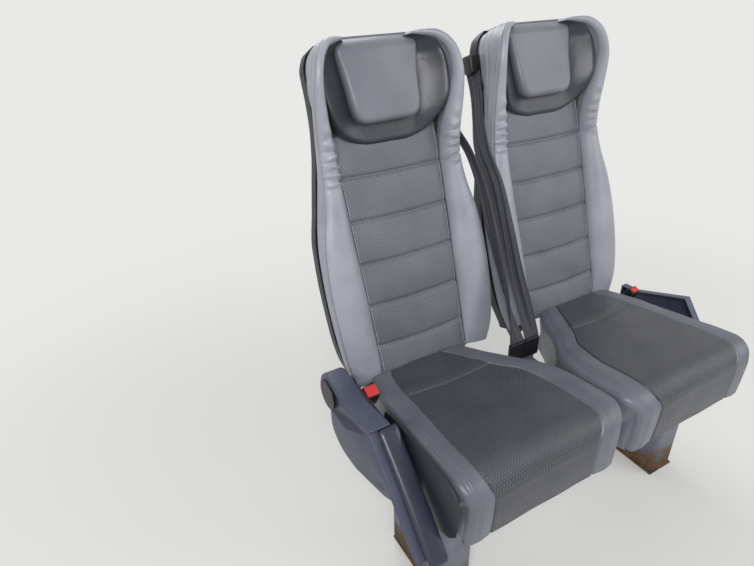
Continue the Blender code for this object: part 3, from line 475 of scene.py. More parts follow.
def lay_on(tree, shader, colour, roughness=None, relief=None):
    """Links a finish's colour, roughness and relief to its shader."""
    for name, found in (("Base Color", colour), ("Roughness", roughness), ("Normal", relief)):
        if found is not None:
            tree.links.new(found, shader.inputs[name])


def between(tree, value, low, high, low_colour, high_colour):
    """A colour that runs from one to another as a value goes from a low limit to a high one."""
    share = node(tree, "ShaderNodeMapRange", {"Value": value, "From Min": low, "From Max": high})
    colours = {"Factor": share.outputs["Result"], "A": linear(low_colour), "B": linear(high_colour)}
    return node(tree, "ShaderNodeMix", colours, data_type="RGBA").outputs["Result"]


def seen_directly(tree):
    """1 for what the camera sees, straight, in gloss or through glass, and 0 for light on the object."""
    rays = node(tree, "ShaderNodeLightPath").outputs
    seen = rays["Is Camera Ray"]
    for other in ("Is Glossy Ray", "Is Transmission Ray"):
        seen = node(tree, "ShaderNodeMath", {0: seen, 1: rays[other]}, operation="MAXIMUM").outputs["Value"]
    return seen


def leatherette(name, light, dark, grain_mm, roughness, weave_mm=0.0, lying=False):
    """PVC-coated fabric, calendered and embossed: a soft sheen broken by fine pebble grain.
    With a weave it is perforated in a close diamond pattern, laid out as it stands or lies."""
    made, tree, shader = new_finish(name, roughness)
    place = node(tree, "ShaderNodeTexCoord").outputs["Object"]
    patches = node(
        tree, "ShaderNodeTexNoise", {"Vector": place, "Scale": scale_of(111), "Detail": 4.0}
    ).outputs["Fac"]
    colour = between(tree, patches, 0.30, 0.72, dark, light)
    # The grain is drawn about twice as coarse as the real one, so that it shows at this size.
    grain = node(tree, "ShaderNodeTexVoronoi", {"Vector": place, "Scale": scale_of(grain_mm)})
    relief = node(
        tree, "ShaderNodeBump", {"Height": grain.outputs["Distance"], "Strength": 0.35, "Distance": 0.3 * MM}
    ).outputs["Normal"]
    creases = node(
        tree, "ShaderNodeTexNoise",
        {"Vector": place, "Scale": scale_of(41.7), "Detail": 3.0, "Distortion": 0.8},
    ).outputs["Fac"]
    relief = node(
        tree, "ShaderNodeBump",
        {"Height": creases, "Strength": 0.16, "Distance": 5.0 * MM, "Normal": relief},
    ).outputs["Normal"]
    if weave_mm:
        lines = []
        for turn in (math.radians(45.0), math.radians(-45.0)):
            about = (0.0, 0.0, turn) if lying else (0.0, turn, 0.0)
            turned = node(tree, "ShaderNodeMapping", {"Vector": place, "Rotation": about})
            # A wave's length is 0.314 of its scale's inverse.
            lines.append(node(
                tree, "ShaderNodeTexWave",
                {"Vector": turned.outputs["Vector"], "Scale": 0.314 * scale_of(weave_mm), "Distortion": 0.0},
                wave_type="BANDS", bands_direction="X",
            ).outputs["Fac"])
        cells = node(
            tree, "ShaderNodeMath", {0: lines[0], 1: lines[1]}, operation="MULTIPLY"
        ).outputs["Value"]
        relief = node(
            tree, "ShaderNodeBump",
            {"Height": cells, "Strength": 0.8, "Distance": 0.7 * MM, "Normal": relief},
        ).outputs["Normal"]
        shade = between(tree, cells, 0.0, 0.55, "#adadb1", "#ffffff")
        colour = node(
            tree, "ShaderNodeMix", {"Factor": 0.9, "A": colour, "B": shade},
            data_type="RGBA", blend_type="MULTIPLY",
        ).outputs["Result"]
    worn = node(
        tree, "ShaderNodeMapRange",
        {"Value": patches, "To Min": roughness - 0.06, "To Max": roughness + 0.10},
    )
    lay_on(tree, shader, colour, worn.outputs["Result"], relief)
    shader.inputs["Sheen Weight"].default_value = 0.06
    shader.inputs["Sheen Roughness"].default_value = 0.4
    return made


def moulded(name, light, dark, roughness, grain_mm=0.9, depth_mm=0.12):
    """Injection-moulded polymer with a spark-eroded grain: an even colour and a soft broken shine."""
    made, tree, shader = new_finish(name, roughness, ior=1.49)
    place = node(tree, "ShaderNodeTexCoord").outputs["Object"]
    patches = node(
        tree, "ShaderNodeTexNoise", {"Vector": place, "Scale": scale_of(71.4), "Detail": 5.0}
    ).outputs["Fac"]
    colour = between(tree, patches, 0.30, 0.70, dark, light)
    grain = node(tree, "ShaderNodeTexNoise", {"Vector": place, "Scale": scale_of(grain_mm), "Detail": 3.0})
    bump = node(
        tree, "ShaderNodeBump", {"Height": grain.outputs["Fac"], "Strength": 0.35, "Distance": depth_mm * MM}
    )
    worn = node(
        tree, "ShaderNodeMapRange",
        {"Value": patches, "To Min": roughness - 0.06, "To Max": roughness + 0.08},
    )
    lay_on(tree, shader, colour, worn.outputs["Result"], bump.outputs["Normal"])
    return made


def belt_webbing():
    """Polyester belt webbing, woven in fine herringbone: matt, with each rib's crest painted lighter as a
    painted sheen line.
    """
    made, tree, shader = new_finish("polyester_belt_webbing_woven", 0.58)
    across = node(tree, "ShaderNodeAttribute", attribute_name="across").outputs["Fac"]
    # Ribs are 3 mm apart, three times the real pitch, so that they show.
    turns = node(
        tree, "ShaderNodeMath", {0: across, 1: 2 * math.pi * scale_of(3.0)}, operation="MULTIPLY"
    ).outputs["Value"]
    ribs = node(tree, "ShaderNodeMath", {0: turns}, operation="SINE").outputs["Value"]
    # Painted sheen: the colour runs lighter along each rib's crest, as the rib pattern catches the light.
    colour = between(tree, ribs, 0.0, 0.9, "#23242d", "#383a46")
    bump = node(tree, "ShaderNodeBump", {"Height": ribs, "Strength": 0.4, "Distance": 0.3 * MM})
    lay_on(tree, shader, colour, relief=bump.outputs["Normal"])
    shader.inputs["Sheen Weight"].default_value = 0.2
    return made


def coated_steel():
    """Powder-coated sheet steel: satin grey, with brown dirt and rust that thickens towards the floor."""
    made, tree, shader = new_finish("steel_powder_coated", 0.5, ior=1.45)
    place = node(tree, "ShaderNodeTexCoord").outputs["Object"]
    height = node(tree, "ShaderNodeSeparateXYZ", {"Vector": place}).outputs["Z"]
    near_floor = node(
        tree, "ShaderNodeMapRange",
        {"Value": height, "From Min": 0.0, "From Max": 0.16, "To Min": 0.62, "To Max": 0.0},
    ).outputs["Result"]
    spots = node(
        tree, "ShaderNodeTexNoise",
        {"Vector": place, "Scale": scale_of(45.5), "Detail": 9.0, "Roughness": 0.65},
    ).outputs["Fac"]
    rust = node(tree, "ShaderNodeMath", {0: near_floor, 1: spots}, operation="ADD").outputs["Value"]
    amount = node(
        tree, "ShaderNodeMapRange", {"Value": rust, "From Min": 0.70, "From Max": 0.98}
    ).outputs["Result"]
    paint = between(tree, spots, 0.3, 0.7, "#5c5f6c", "#727683")
    dirt = between(tree, spots, 0.35, 0.7, "#3a2c22", "#6d5138")
    colour = node(
        tree, "ShaderNodeMix", {"Factor": amount, "A": paint, "B": dirt}, data_type="RGBA"
    ).outputs["Result"]
    peel = node(
        tree, "ShaderNodeTexNoise", {"Vector": place, "Scale": scale_of(2.38), "Detail": 2.0}
    ).outputs["Fac"]
    relief = node(tree, "ShaderNodeMix", {"Factor": amount, "A": peel, "B": spots}).outputs["Result"]
    bump = node(tree, "ShaderNodeBump", {"Height": relief, "Strength": 0.35, "Distance": 0.5 * MM})
    rough = node(tree, "ShaderNodeMapRange", {"Value": amount, "To Min": 0.42, "To Max": 0.88})
    lay_on(tree, shader, colour, rough.outputs["Result"], bump.outputs["Normal"])
    return made


def rolled_steel():
    """Zinc-plated rolled steel: bright and slightly streaked along the strip."""
    made, tree, shader = new_finish("steel_zinc_plated", 0.32, metallic=1.0)
    place = node(tree, "ShaderNodeTexCoord").outputs["Object"]
    streak = (scale_of(1.11), scale_of(16.7), scale_of(1.11))
    stretched = node(tree, "ShaderNodeMapping", {"Vector": place, "Scale": streak}).outputs["Vector"]
    streaks = node(
        tree, "ShaderNodeTexNoise", {"Vector": stretched, "Scale": 1.0, "Detail": 3.0}
    ).outputs["Fac"]
    colour = between(tree, streaks, 0.3, 0.7, "#a9abb0", "#c8cacd")
    rough = node(tree, "ShaderNodeMapRange", {"Value": streaks, "To Min": 0.26, "To Max": 0.42})
    lay_on(tree, shader, colour, rough.outputs["Result"])
    return made


def sewing_thread(name, dark, light):
    """Bonded polyester thread: a twisted cord with a low sheen."""
    made, tree, shader = new_finish(name, 0.55)
    place = node(tree, "ShaderNodeTexCoord").outputs["Object"]
    twist = node(tree, "ShaderNodeTexNoise", {"Vector": place, "Scale": scale_of(0.667), "Detail": 1.0})
    lay_on(tree, shader, between(tree, twist.outputs["Fac"], 0.3, 0.7, dark, light))
    return made


def studio_floor():
    """Matt painted floor, which far from the seat turns as pale as the backdrop, so that no horizon shows."""
    made, tree, shader = new_finish("floor_paint_matt", 0.9)
    shader.inputs["Base Color"].default_value = linear(STUDIO_WHITE)
    place = node(tree, "ShaderNodeTexCoord").outputs["Object"]
    reach = node(tree, "ShaderNodeVectorMath", {0: place, 1: STUDIO_MIDDLE}, operation="DISTANCE")
    far = node(
        tree, "ShaderNodeMapRange",
        {"Value": reach.outputs["Value"], "From Min": FLOOR_FADE[0], "From Max": FLOOR_FADE[1]},
        interpolation_type="SMOOTHSTEP",
    ).outputs["Result"]
    amount = node(tree, "ShaderNodeMath", {0: far, 1: seen_directly(tree)}, operation="MULTIPLY")
    backdrop = node(tree, "ShaderNodeEmission", {"Color": linear(STUDIO_WHITE), "Strength": 1.0})
    mixed = node(
        tree, "ShaderNodeMixShader",
        {0: amount.outputs["Value"], 1: shader.outputs["BSDF"], 2: backdrop.outputs["Emission"]},
    )
    tree.links.new(mixed.outputs["Shader"], tree.nodes["Material Output"].inputs["Surface"])
    return made


FINISH = {
    "bolster": leatherette("pvc_leatherette_calendered_grey", "#a4a7b2", "#8f929d", 1.6, 0.34),
    "insert": leatherette("pvc_leatherette_perforated_grey", "#83878f", "#72767e", 1.6, 0.36, 5.0),
    "cushion_border": leatherette("pvc_leatherette_calendered_dark", "#6e717c", "#5b5e69", 1.6, 0.34),
    "cushion_insert": leatherette(
        "pvc_leatherette_perforated_dark", "#585b63", "#4a4d55", 1.6, 0.38, 5.0, lying=True
    ),
    "collar": leatherette("pvc_leatherette_calendered_charcoal", "#363943", "#2a2c35", 1.8, 0.34),
    "head": leatherette("pvc_leatherette_calendered_mid", "#787c85", "#666a73", 1.8, 0.36),
    "shell": moulded("abs_moulded_navy", "#20232f", "#171a24", 0.46),
    "shield": moulded("abs_moulded_slate", "#4a4f63", "#3b4053", 0.44),
    "arm_pad": moulded("polyurethane_skin_moulded_black", "#323747", "#252a38", 0.28, 1.4, 0.08),
    "black": moulded("abs_moulded_black", "#1d1e22", "#131417", 0.42),
    "red": moulded("abs_moulded_red", "#dc3b3a", "#c83031", 0.30, 0.7, 0.05),
    "webbing": belt_webbing(),
    "steel": coated_steel(),
    "zinc": rolled_steel(),
    "pale_thread": sewing_thread("polyester_thread_twisted_pale", "#c4c5ca", "#e2e3e6"),
    "dark_thread": sewing_thread("polyester_thread_twisted_grey", "#5f6067", "#777880"),
}


# Mesh tools

def clamped(value):
    """A value held between 0 and 1."""
    return max(0.0, min(1.0, value))


def smooth_table(table, share):
    """A row between a table's rows. The first column runs from row to row, and the curve is smooth."""
    keys = [row[0] for row in table]
    last = len(table) - 1
    i = max(0, min(last - 1, sum(key <= share for key in keys) - 1))
    t = (share - keys[i]) / (keys[i + 1] - keys[i])
    found = []
    for column in range(1, len(table[0])):
        values = [row[column] for row in table]

        def slope(k):
            if k == 0 or k == last:
                return 0.0 if k == 0 else (values[last] - values[last - 1]) / (keys[last] - keys[last - 1])
            before = (values[k] - values[k - 1]) / (keys[k] - keys[k - 1])
            after = (values[k + 1] - values[k]) / (keys[k + 1] - keys[k])
            return 0.0 if before * after <= 0 else 2 * before * after / (before + after)

        run = keys[i + 1] - keys[i]
        found.append(
            values[i] * (1 + 2 * t) * (1 - t) ** 2
            + slope(i) * run * t * (1 - t) ** 2
            + values[i + 1] * t * t * (3 - 2 * t)
            + slope(i + 1) * run * t * t * (t - 1)
        )
    return found


def curve_through(points, share):
    """A place on a smooth curve through points, at a share of their count."""
    last = len(points) - 1
    at = clamped(share) * last
    i = min(int(at), last - 1)
    t = at - i
    before = points[max(i - 1, 0)]
    start = points[i]
    end = points[i + 1]
    after = points[min(i + 2, last)]
    return tuple(
        b + t / 2 * (c - a) + t * t / 2 * (2 * a - 5 * b + 4 * c - d) + t ** 3 / 2 * (3 * b - a - 3 * c + d)
        for a, b, c, d in zip(before, start, end, after)
    )


def spans(table):
    """Shares from one end to the other, with as many steps in each span as the table says."""
    found = [table[0][0]]
    for low, high, steps in table:
        found += [low + (high - low) * i / steps for i in range(1, steps + 1)]
    return found


def bell(distance, width):
    """1 at no distance, fading to 0 a few widths away."""
    return math.exp(-(distance / width) ** 2)


def dents(table, x, along):
    """Slow dents of a soft cover, where two ripples cross."""
    height, across_1, along_1, along_2, across_2 = table
    return height * math.sin(across_1 * x + along_1 * along) * math.sin(along_2 * along - across_2 * x)


def put(name, data):
    """An object of the scene for a mesh, a lamp or the camera."""
    made = bpy.data.objects.new(name, data)
    bpy.context.scene.collection.objects.link(made)
    return made


def new_piece(name, points, faces, finishes, indices=None):
    """A smooth-shaded piece with its faces turned outward."""
    mesh = bpy.data.meshes.new(name)
    mesh.from_pydata([tuple(point) for point in points], [], faces)
    for finish in finishes:
        mesh.materials.append(FINISH[finish])
    if indices:
        mesh.polygons.foreach_set("material_index", indices)
    made = put(name, mesh)
    bm = bmesh.new()
    bm.from_mesh(mesh)
    bmesh.ops.recalc_face_normals(bm, faces=bm.faces)
    bm.to_mesh(mesh)
    bm.free()
    mesh.shade_smooth()
    return made


def skin(name, rows, finishes, finish_of=None, around=False, caps=False):
    """A smooth mesh through rows of points. Around joins each row's end to its start."""
    across = len(rows[0])
    points = [point for row in rows for point in row]
    steps = across if around else across - 1
    faces = []
    indices = []
    for i in range(len(rows) - 1):
        for j in range(steps):
            k = (j + 1) % across
            faces.append((i * across + j, i * across + k, (i + 1) * across + k, (i + 1) * across + j))
            indices.append(finish_of(j) if finish_of else 0)
    if caps:
        last = (len(rows) - 1) * across
        faces += [tuple(range(across)), tuple(range(last, last + across))]
        indices += [0, 0]
    return new_piece(name, points, faces, finishes, indices)


def crisp(mesh):
    """Shades a mesh smooth, with its hard edges kept."""
    mesh.shade_smooth()
    mesh.set_sharp_from_angle(angle=math.radians(35.0))


def settle(piece):
    """Works the piece's modifiers into its mesh and keeps its hard edges crisp."""
    graph = bpy.context.evaluated_depsgraph_get()
    mesh = bpy.data.meshes.new_from_object(piece.evaluated_get(graph))
    piece.modifiers.clear()
    piece.data = mesh
    crisp(mesh)


def round_edges(piece, width, segments=3):
    rounded = piece.modifiers.new("rounded", "BEVEL")
    rounded.width = width
    rounded.segments = segments
    rounded.limit_method = "ANGLE"
    rounded.angle_limit = math.radians(40.0)
    settle(piece)


def slab(name, outline, low, high, finish, to_row=Matrix.Identity(4)):
    """A flat outline as a solid between two depths.
    Its corners are (depth, across, up) before it is turned."""
    count = len(outline)
    points = [to_row @ Vector((depth, *corner)) for depth in (low, high) for corner in outline]
    faces = [tuple(range(count)), tuple(range(2 * count - 1, count - 1, -1))]
    faces += [(i, (i + 1) % count, (i + 1) % count + count, i + count) for i in range(count)]
    return new_piece(name, points, faces, [finish])


def rounded_box(name, low, high, radius, finish, to_row=Matrix.Identity(4)):
    """A block with all its edges rounded, for moulded and forged pieces."""
    outline = [(low[1], low[2]), (high[1], low[2]), (high[1], high[2]), (low[1], high[2])]
    made = slab(name, outline, low[0], high[0], finish, to_row)
    round_edges(made, radius)
    return made


def arc(centre, radius, start, end, steps):
    """Points round a centre from one angle in degrees to another."""
    angles = [math.radians(start + (end - start) * step / steps) for step in range(steps + 1)]
    return [(centre[0] + radius * math.cos(a), centre[1] + radius * math.sin(a)) for a in angles]


def dress(piece, body, slot_name, *nodes, fill=None):
    """Puts a piece on its body and hides the nodes that it stands for. Its slot and its fill are not used."""
    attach(piece, body)
    if nodes:
        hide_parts(*nodes)


def stitches(sewn, seat, lines, finish):
    """Sewn stitches along lines of (point, normal), each a short rounded grain of thread."""
    points = []
    faces = []
    for line in lines:
        ahead = STITCH_LENGTH
        for (start, normal), (end, _) in zip(line, line[1:]):
            run = end - start
            length = run.length
            if length == 0.0:
                continue
            along = run / length
            side = along.cross(normal).normalized()
            while ahead < length:
                middle = start + along * ahead
                first = len(points)
                for reach, swell in STITCH_SHARES:
                    for turn in range(4):
                        angle = math.pi / 2 * turn
                        points.append(
                            middle + along * STITCH_LENGTH * reach
                            + side * math.cos(angle) * STITCH_RADIUS * swell
                            + normal * math.sin(angle) * STITCH_RADIUS * swell
                        )
                for ring in range(len(STITCH_SHARES) - 1):
                    for turn in range(4):
                        a = first + ring * 4 + turn
                        b = first + ring * 4 + (turn + 1) % 4
                        faces.append((a, b, b + 4, a + 4))
                last = len(points) - 4
                faces.append((first + 3, first + 2, first + 1, first))
                faces.append((last, last + 1, last + 2, last + 3))
                ahead += STITCH_LENGTH + STITCH_GAP
            ahead -= length
    made = new_piece(f"{sewn}_stitches_{seat}", points, faces, [finish])
    dress(made, f"back_{seat}", "leatherette_grey")


# Backrest

def back_place(seat):
    """Turns a place of the backrest's frame to the row's frame."""
    x, y, z = JOINTS[f"recline_{seat}"]["pos_m"]
    return Matrix.Translation((x, y, z)) @ Matrix.Rotation(-BACK_ANGLE, 4, "X")


def on_back(place, x, up, forward):
    return place @ Vector((x, -HINGE_BEHIND_FACE - forward, HINGE_BELOW_BITE + up))


def way_on_back(place, x, up, forward):
    """A direction of the backrest's frame, in the row's frame."""
    return (place.to_3x3() @ Vector((x, -forward, up))).normalized()


def insert_half_width(up):
    return INSERT_HALF_FOOT + (INSERT_HALF_WAIST - INSERT_HALF_FOOT) * clamped(up / CHANNELS_UP[-1])


def insert_forward(x, up):
    """How far the insert's face stands forward: a low crown, pillows between channels, and sewn grooves."""
    half = insert_half_width(up)
    beyond = max(0.0, abs(x) - half)
    x = max(-half, min(half, x))
    edge = 1 - (x / half) ** 2
    pitch = CHANNELS_UP[1] - CHANNELS_UP[0]
    phase = (up + CHANNEL_BOW * edge - CHANNELS_UP[0]) / pitch
    fade = min(1.0, edge * CHANNEL_FADE)
    forward = INSERT_CROWN * edge
    forward += CHANNEL_PILLOW * abs(math.sin(math.pi * phase)) ** CHANNEL_FULLNESS * fade
    for channel in CHANNELS_UP:
        forward -= CHANNEL_DEPTH * bell(up - channel + CHANNEL_BOW * edge, CHANNEL_WIDTH)
    forward -= INSERT_SEAM_DEPTH * bell(half - abs(x), INSERT_SEAM_WIDTH) + INSERT_TUCK_SLOPE * beyond
    return forward + dents(INSERT_DENTS, x, up) * edge


def make_insert(seat, place):
    rows = []
    count = 250
    columns = 116
    for i in range(count + 1):
        up = BACK_FOOT + (INSERT_TOP - BACK_FOOT) * i / count
        reach = insert_half_width(up) + INSERT_TUCK
        row = []
        for j in range(columns + 1):
            x = reach * (2 * j / columns - 1)
            row.append(on_back(place, x, up, insert_forward(x, up)))
        row += [on_back(place, x, up, INSERT_REAR) for x in (reach, 0.0, -reach)]
        rows.append(row)
    insert = skin(f"back_insert_{seat}", rows, ["insert"], around=True, caps=True)
    dress(insert, f"back_{seat}", "leatherette_grey", f"back_cushion_{seat}", fill=0.7)

    normal = way_on_back(place, 0, 0, 1)

    def thread_place(x, up):
        """Where thread lies on the insert's face, and which way it faces."""
        return on_back(place, x, up, insert_forward(x, up) + STITCH_RADIUS / 3), normal

    lines = []
    steps = 100
    for channel in CHANNELS_UP:
        half = insert_half_width(channel) - CHANNEL_STITCHES_IN
        for side in (-1, 1):
            line = []
            for step in range(steps + 1):
                x = half * (2 * step / steps - 1)
                up = channel - CHANNEL_BOW * (1 - (x / half) ** 2) + side * CHANNEL_HALF_GAP
                line.append(thread_place(x, up))
            lines.append(line)
    stitches("channel", seat, lines, "dark_thread")
    lines = []
    steps = 200
    for side in (-1, 1):
        line = []
        for step in range(steps + 1):
            up = BACK_FOOT + (WAIST_UP + EDGE_STITCHES_PAST_WAIST - BACK_FOOT) * step / steps
            line.append(thread_place(side * (insert_half_width(up) - EDGE_STITCHES_IN), up))
        lines.append(line)
    stitches("insert_edge", seat, lines, "pale_thread")


def bolster_station(share):
    """The bolster's table between its rows, with the unit way across its roll in the back's plane."""
    found = curve_through(BOLSTER, share)
    step = 0.01
    low = curve_through(BOLSTER, share - step)
    high = curve_through(BOLSTER, share + step)
    run_x = high[0] - low[0]
    run_up = high[1] - low[1]
    length = math.hypot(run_x, run_up)
    return found + (run_up / length, -run_x / length)


def roll(inner, crest, outer, t):
    """A place across the padded roll from its inner seam (0) over the crest (0.5) to its outer seam (1)."""
    start, angle = (inner, t * math.pi) if t < 0.5 else (outer, (1 - t) * math.pi)
    return (
        start[0] + (crest[0] - start[0]) * (1 - math.cos(angle)),
        start[1] + (crest[1] - start[1]) * math.sin(angle),
    )


def fold_height(up, across, t):
    """Folds that the waist seam gathers, fading out towards the roll's seams."""
    height = 0.0
    for fold_up, fold_out, half_length, half_width, slant, depth in FOLDS:
        away = across - fold_out
        height += depth * bell(up - fold_up - slant * away, half_width) * bell(away, half_length)
    return height * math.sin(math.pi * clamped(t)) ** FOLD_FADE


def bolster_section(station, side):
    """One section through the bolster: across from its crest, forward, and how far each place stands out."""
    _, up, crest_forward, inner_gap, inner_forward, outer_gap, outer_forward, rear_gap = station[:8]
    inner = (-inner_gap, inner_forward)
    crest = (0.0, crest_forward)
    outer = (outer_gap, outer_forward)
    section = [
        (-inner_gap + TUCK_OUT, TUCK_FORWARD, 0.0),
        (-inner_gap + TUCK_OUT / 2, inner_forward - TUCK_STEP, 0.0),
    ]
    for t in spans(ROLL_SPANS):
        across, forward = roll(inner, crest, outer, t)
        out = fold_height(up, across * (1 + SIDES_UNLIKE * side), t)
        fade = min(1.0, WAIST_FADE * t)
        out -= WAIST_DEPTH * bell(up - WAIST_UP - WAIST_SLANT * across, WAIST_WIDTH) * fade
        for topstitch in TOPSTITCH_SHARES:
            out -= TOPSTITCH_DEPTH * bell(t - topstitch, TOPSTITCH_WIDTH)
        section.append((across, forward, out))
    for j in range(1, GUSSET_STEPS + 1):
        t = j / GUSSET_STEPS
        out = GUSSET_BULGE * math.sin(math.pi * t)
        for seam in GUSSET_SEAMS:
            out -= GUSSET_SEAM_DEPTH * bell(t - seam, GUSSET_SEAM_WIDTH)
        across = outer_gap + (rear_gap - outer_gap) * t
        section.append((across, outer_forward + (GUSSET_REAR - outer_forward) * t, out))
    section.append((rear_gap - REAR_TUCK_IN, GUSSET_REAR - REAR_TUCK_BACK, 0.0))
    return section


def make_bolster(seat, place, side):
    label = "left" if side < 0 else "right"
    rows = []
    shares = spans(ROLL_SPANS)
    stitched = [2 + min(range(len(shares)), key=lambda k: abs(shares[k] - seam)) for seam in TOPSTITCH_SHARES]
    lines = [[] for _ in stitched]
    for share in spans(BOLSTER_SPANS):
        station = bolster_station(share)
        way_x, way_up = station[8:]
        section = bolster_section(station, side)
        row = []
        for k, (across, forward, out) in enumerate(section):
            before = section[max(k - 1, 0)]
            after = section[min(k + 1, len(section) - 1)]
            run = math.hypot(after[0] - before[0], after[1] - before[1])
            normal_across = -(after[1] - before[1]) / run
            normal_forward = (after[0] - before[0]) / run
            across += out * normal_across
            forward += out * normal_forward
            x = side * (station[0] + across * way_x)
            row.append(on_back(place, x, station[1] + across * way_up, forward))
            if k in stitched:
                way = (side * normal_across * way_x, normal_across * way_up, normal_forward)
                normal = way_on_back(place, *way)
                lines[stitched.index(k)].append((row[-1] + normal * TOPSTITCH_DEPTH / 2, normal))
        rows.append(row)
    bolster = skin(f"back_bolster_{label}_{seat}", rows, ["bolster"], around=True, caps=True)
    dress(bolster, f"back_{seat}", "leatherette_grey", fill=0.8)
    return lines


def make_core(seat, place):
    """The closed slab behind the insert, which also closes the head of the backrest between the wings."""
    rows = []
    foot = CORE[0][0]
    head = CORE[-1][0]
    count = 120
    for i in range(count + 1):
        up = foot + (head - foot) * i / count
        half = smooth_table(CORE, up)[0]
        stepped = clamped((up - CORE_STEP_UP) / CORE_STEP_RUN)
        face = CORE_LOW_FACE + (CORE_HIGH_FACE - CORE_LOW_FACE) * stepped
        near = clamped((head - up) / CORE_ROUND)
        sink = CORE_ROUND * (1 - math.sqrt(1 - (1 - near) ** 2))
        row = [on_back(place, half * x, up, face - sink) for x in CORE_COLUMN_SHARES]
        row += [on_back(place, half * x, up, CORE_REAR + sink) for x in CORE_COLUMN_SHARES[::-1]]
        rows.append(row)
    core = skin(f"back_core_{seat}", rows, ["collar"], around=True, caps=True)
    dress(core, f"back_{seat}", "leatherette_charcoal")


def shell_row(place, up, rear):
    """The shell's middle skin at one height, from lip to lip round the back."""
    half = smooth_table(SHELL, up)[0]
    radius = min(SHELL_SHOULDER, SHELL_LIP - rear)
    right = arc((half - radius, rear + radius), radius, 0, -90, 8)
    count = 6
    middle = [((half - radius) * (1 - j / count), rear) for j in range(1, count + 1)]
    points = [(half, SHELL_LIP)] + right + middle
    points = [(-x, forward) for x, forward in points[:-1]] + points[::-1]
    return [on_back(place, x, up, forward) for x, forward in points]


def make_shell(seat, place):
    foot = SHELL[0][0]
    head = SHELL[-1][0]
    count = 90
    turns = 8
    rows = []
    for i in range(count + 1):
        rows.append(shell_row(place, foot + (head - SHELL_TOP_ROUND - foot) * i / count, SHELL_REAR))
    for i in range(1, turns + 1):
        angle = math.pi / 2 * i / turns
        up = head - SHELL_TOP_ROUND * (1 - math.sin(angle))
        rows.append(shell_row(place, up, SHELL_REAR + SHELL_TOP_ROUND * (1 - math.cos(angle))))
    rows.append(shell_row(place, head, SHELL_LIP - SHELL_WALL))
    shell = skin(f"back_shell_cover_{seat}", rows, ["shell"])
    wall = shell.modifiers.new("wall", "SOLIDIFY")
    wall.thickness = SHELL_WALL
    wall.offset = 0.0
    settle(shell)
    dress(shell, f"back_{seat}", "shell_plastic", f"back_shell_{seat}")


def outline(shares, foot, head, half_width, count, passes):
    """A closed outline, symmetric about the middle, evenly spaced and smoothed in passes: out and up."""
    fine = []
    steps = 400
    for i in range(steps + 1):
        share = 0.5 - 0.5 * math.cos(math.pi * i / steps)
        fine.append((half_width * smooth_table(shares, share)[0], foot + (head - foot) * share))
    path = [(0.0, foot)] + fine + [(0.0, head)]
    path = path + [(-x, up) for x, up in reversed(path[1:-1])]
    path.append(path[0])
    found = evenly(path, count)[:-1]
    for _ in range(passes):
        found = [
            tuple((found[i - 1][c] + 2 * found[i][c] + found[(i + 1) % count][c]) / 4 for c in (0, 1))
            for i in range(count)
        ]
    return found


def evenly(path, count):
    """Places at even distances along a path."""
    lengths = [0.0]
    for a, b in zip(path, path[1:]):
        lengths.append(lengths[-1] + math.dist(a, b))
    found = []
    k = 0
    for i in range(count + 1):
        wanted = lengths[-1] * i / count
        while k < len(path) - 2 and lengths[k + 1] < wanted:
            k += 1
        t = (wanted - lengths[k]) / (lengths[k + 1] - lengths[k])
        found.append(tuple(a + (b - a) * t for a, b in zip(path[k], path[k + 1])))
    return found


def pillow(name, place, edge, middle_up, face, floor, finish):
    """A padded slab inside an outline.
    Its face is a function of out and up, and its edge rolls down to the floor."""
    rows = [[on_back(place, x, up, floor) for x, up in edge]]
    for i in range(PILLOW_RINGS):
        # The rings are closest together at the edge.
        inward = (i / PILLOW_RINGS) ** 1.5
        row = []
        for x, up in edge:
            reach = math.hypot(x, up - middle_up)
            near = min(1.0, inward * reach / PILLOW_ROUND)
            at_x = x * (1 - inward)
            at_up = middle_up + (up - middle_up) * (1 - inward)
            drop = PILLOW_ROUND * (1 - math.sqrt(max(0.0, 1 - (1 - near) ** 2)))
            row.append(on_back(place, at_x, at_up, face(at_x, at_up) - drop))
        rows.append(row)
    top = face(0, middle_up)
    core = PILLOW_CORE_SHARE
    rows.append([on_back(place, x * core, middle_up + (up - middle_up) * core, top) for x, up in edge])
    return skin(name, rows, [finish], around=True, caps=True)


def make_collar(seat, place):
    def face(x, up):
        share = clamped((up - COLLAR_FOOT) / (COLLAR_HEAD - COLLAR_FOOT))
        half = max(COLLAR_HALF_WIDTH * smooth_table(COLLAR_SHARES, share)[0], COLLAR_LEAST_HALF)
        out = min(1.0, abs(x) / half)
        high = clamped((up - COLLAR_FOOT) / COLLAR_RISE_RUN)
        high = high * high * (3 - 2 * high)
        rise = COLLAR_RISE * high * max(0.0, (out - COLLAR_DIP_FROM) / (1 - COLLAR_DIP_FROM)) ** 1.5
        height, across, along, phase = COLLAR_DENTS
        return COLLAR_LIFT + rise + height * math.sin(across * x + phase) * math.sin(along * up) * high

    edge = outline(COLLAR_SHARES, COLLAR_FOOT, COLLAR_HEAD, COLLAR_HALF_WIDTH, count=240, passes=24)
    collar = pillow(f"headrest_collar_{seat}", place, edge, COLLAR_MIDDLE, face, 0.0, "collar")
    dress(collar, f"back_{seat}", "leatherette_charcoal", f"collar_{seat}", fill=0.7)


def make_head_pad(seat, place):
    def face(x, up):
        over = max(0.0, (up - HEAD_FALL_FROM) / HEAD_FALL)
        crown = HEAD_CROWN * (1 - (x / HEAD_HALF_WIDTH) ** 2)
        swell = HEAD_SWELL * bell(up - HEAD_SWELL_UP, HEAD_SWELL_WIDTH)
        return HEAD_LIFT + crown + swell - HEAD_FALL * min(1.0, over) ** 2

    edge = outline(HEAD_SHARES, HEAD_FOOT, HEAD_HEAD, HEAD_HALF_WIDTH, count=220, passes=6)
    pad = pillow(f"headrest_pad_{seat}", place, edge, HEAD_MIDDLE, face, HEAD_FLOOR, "head")
    dress(pad, f"back_{seat}", "leatherette_head", f"head_pad_{seat}", fill=0.75)


# Cushion

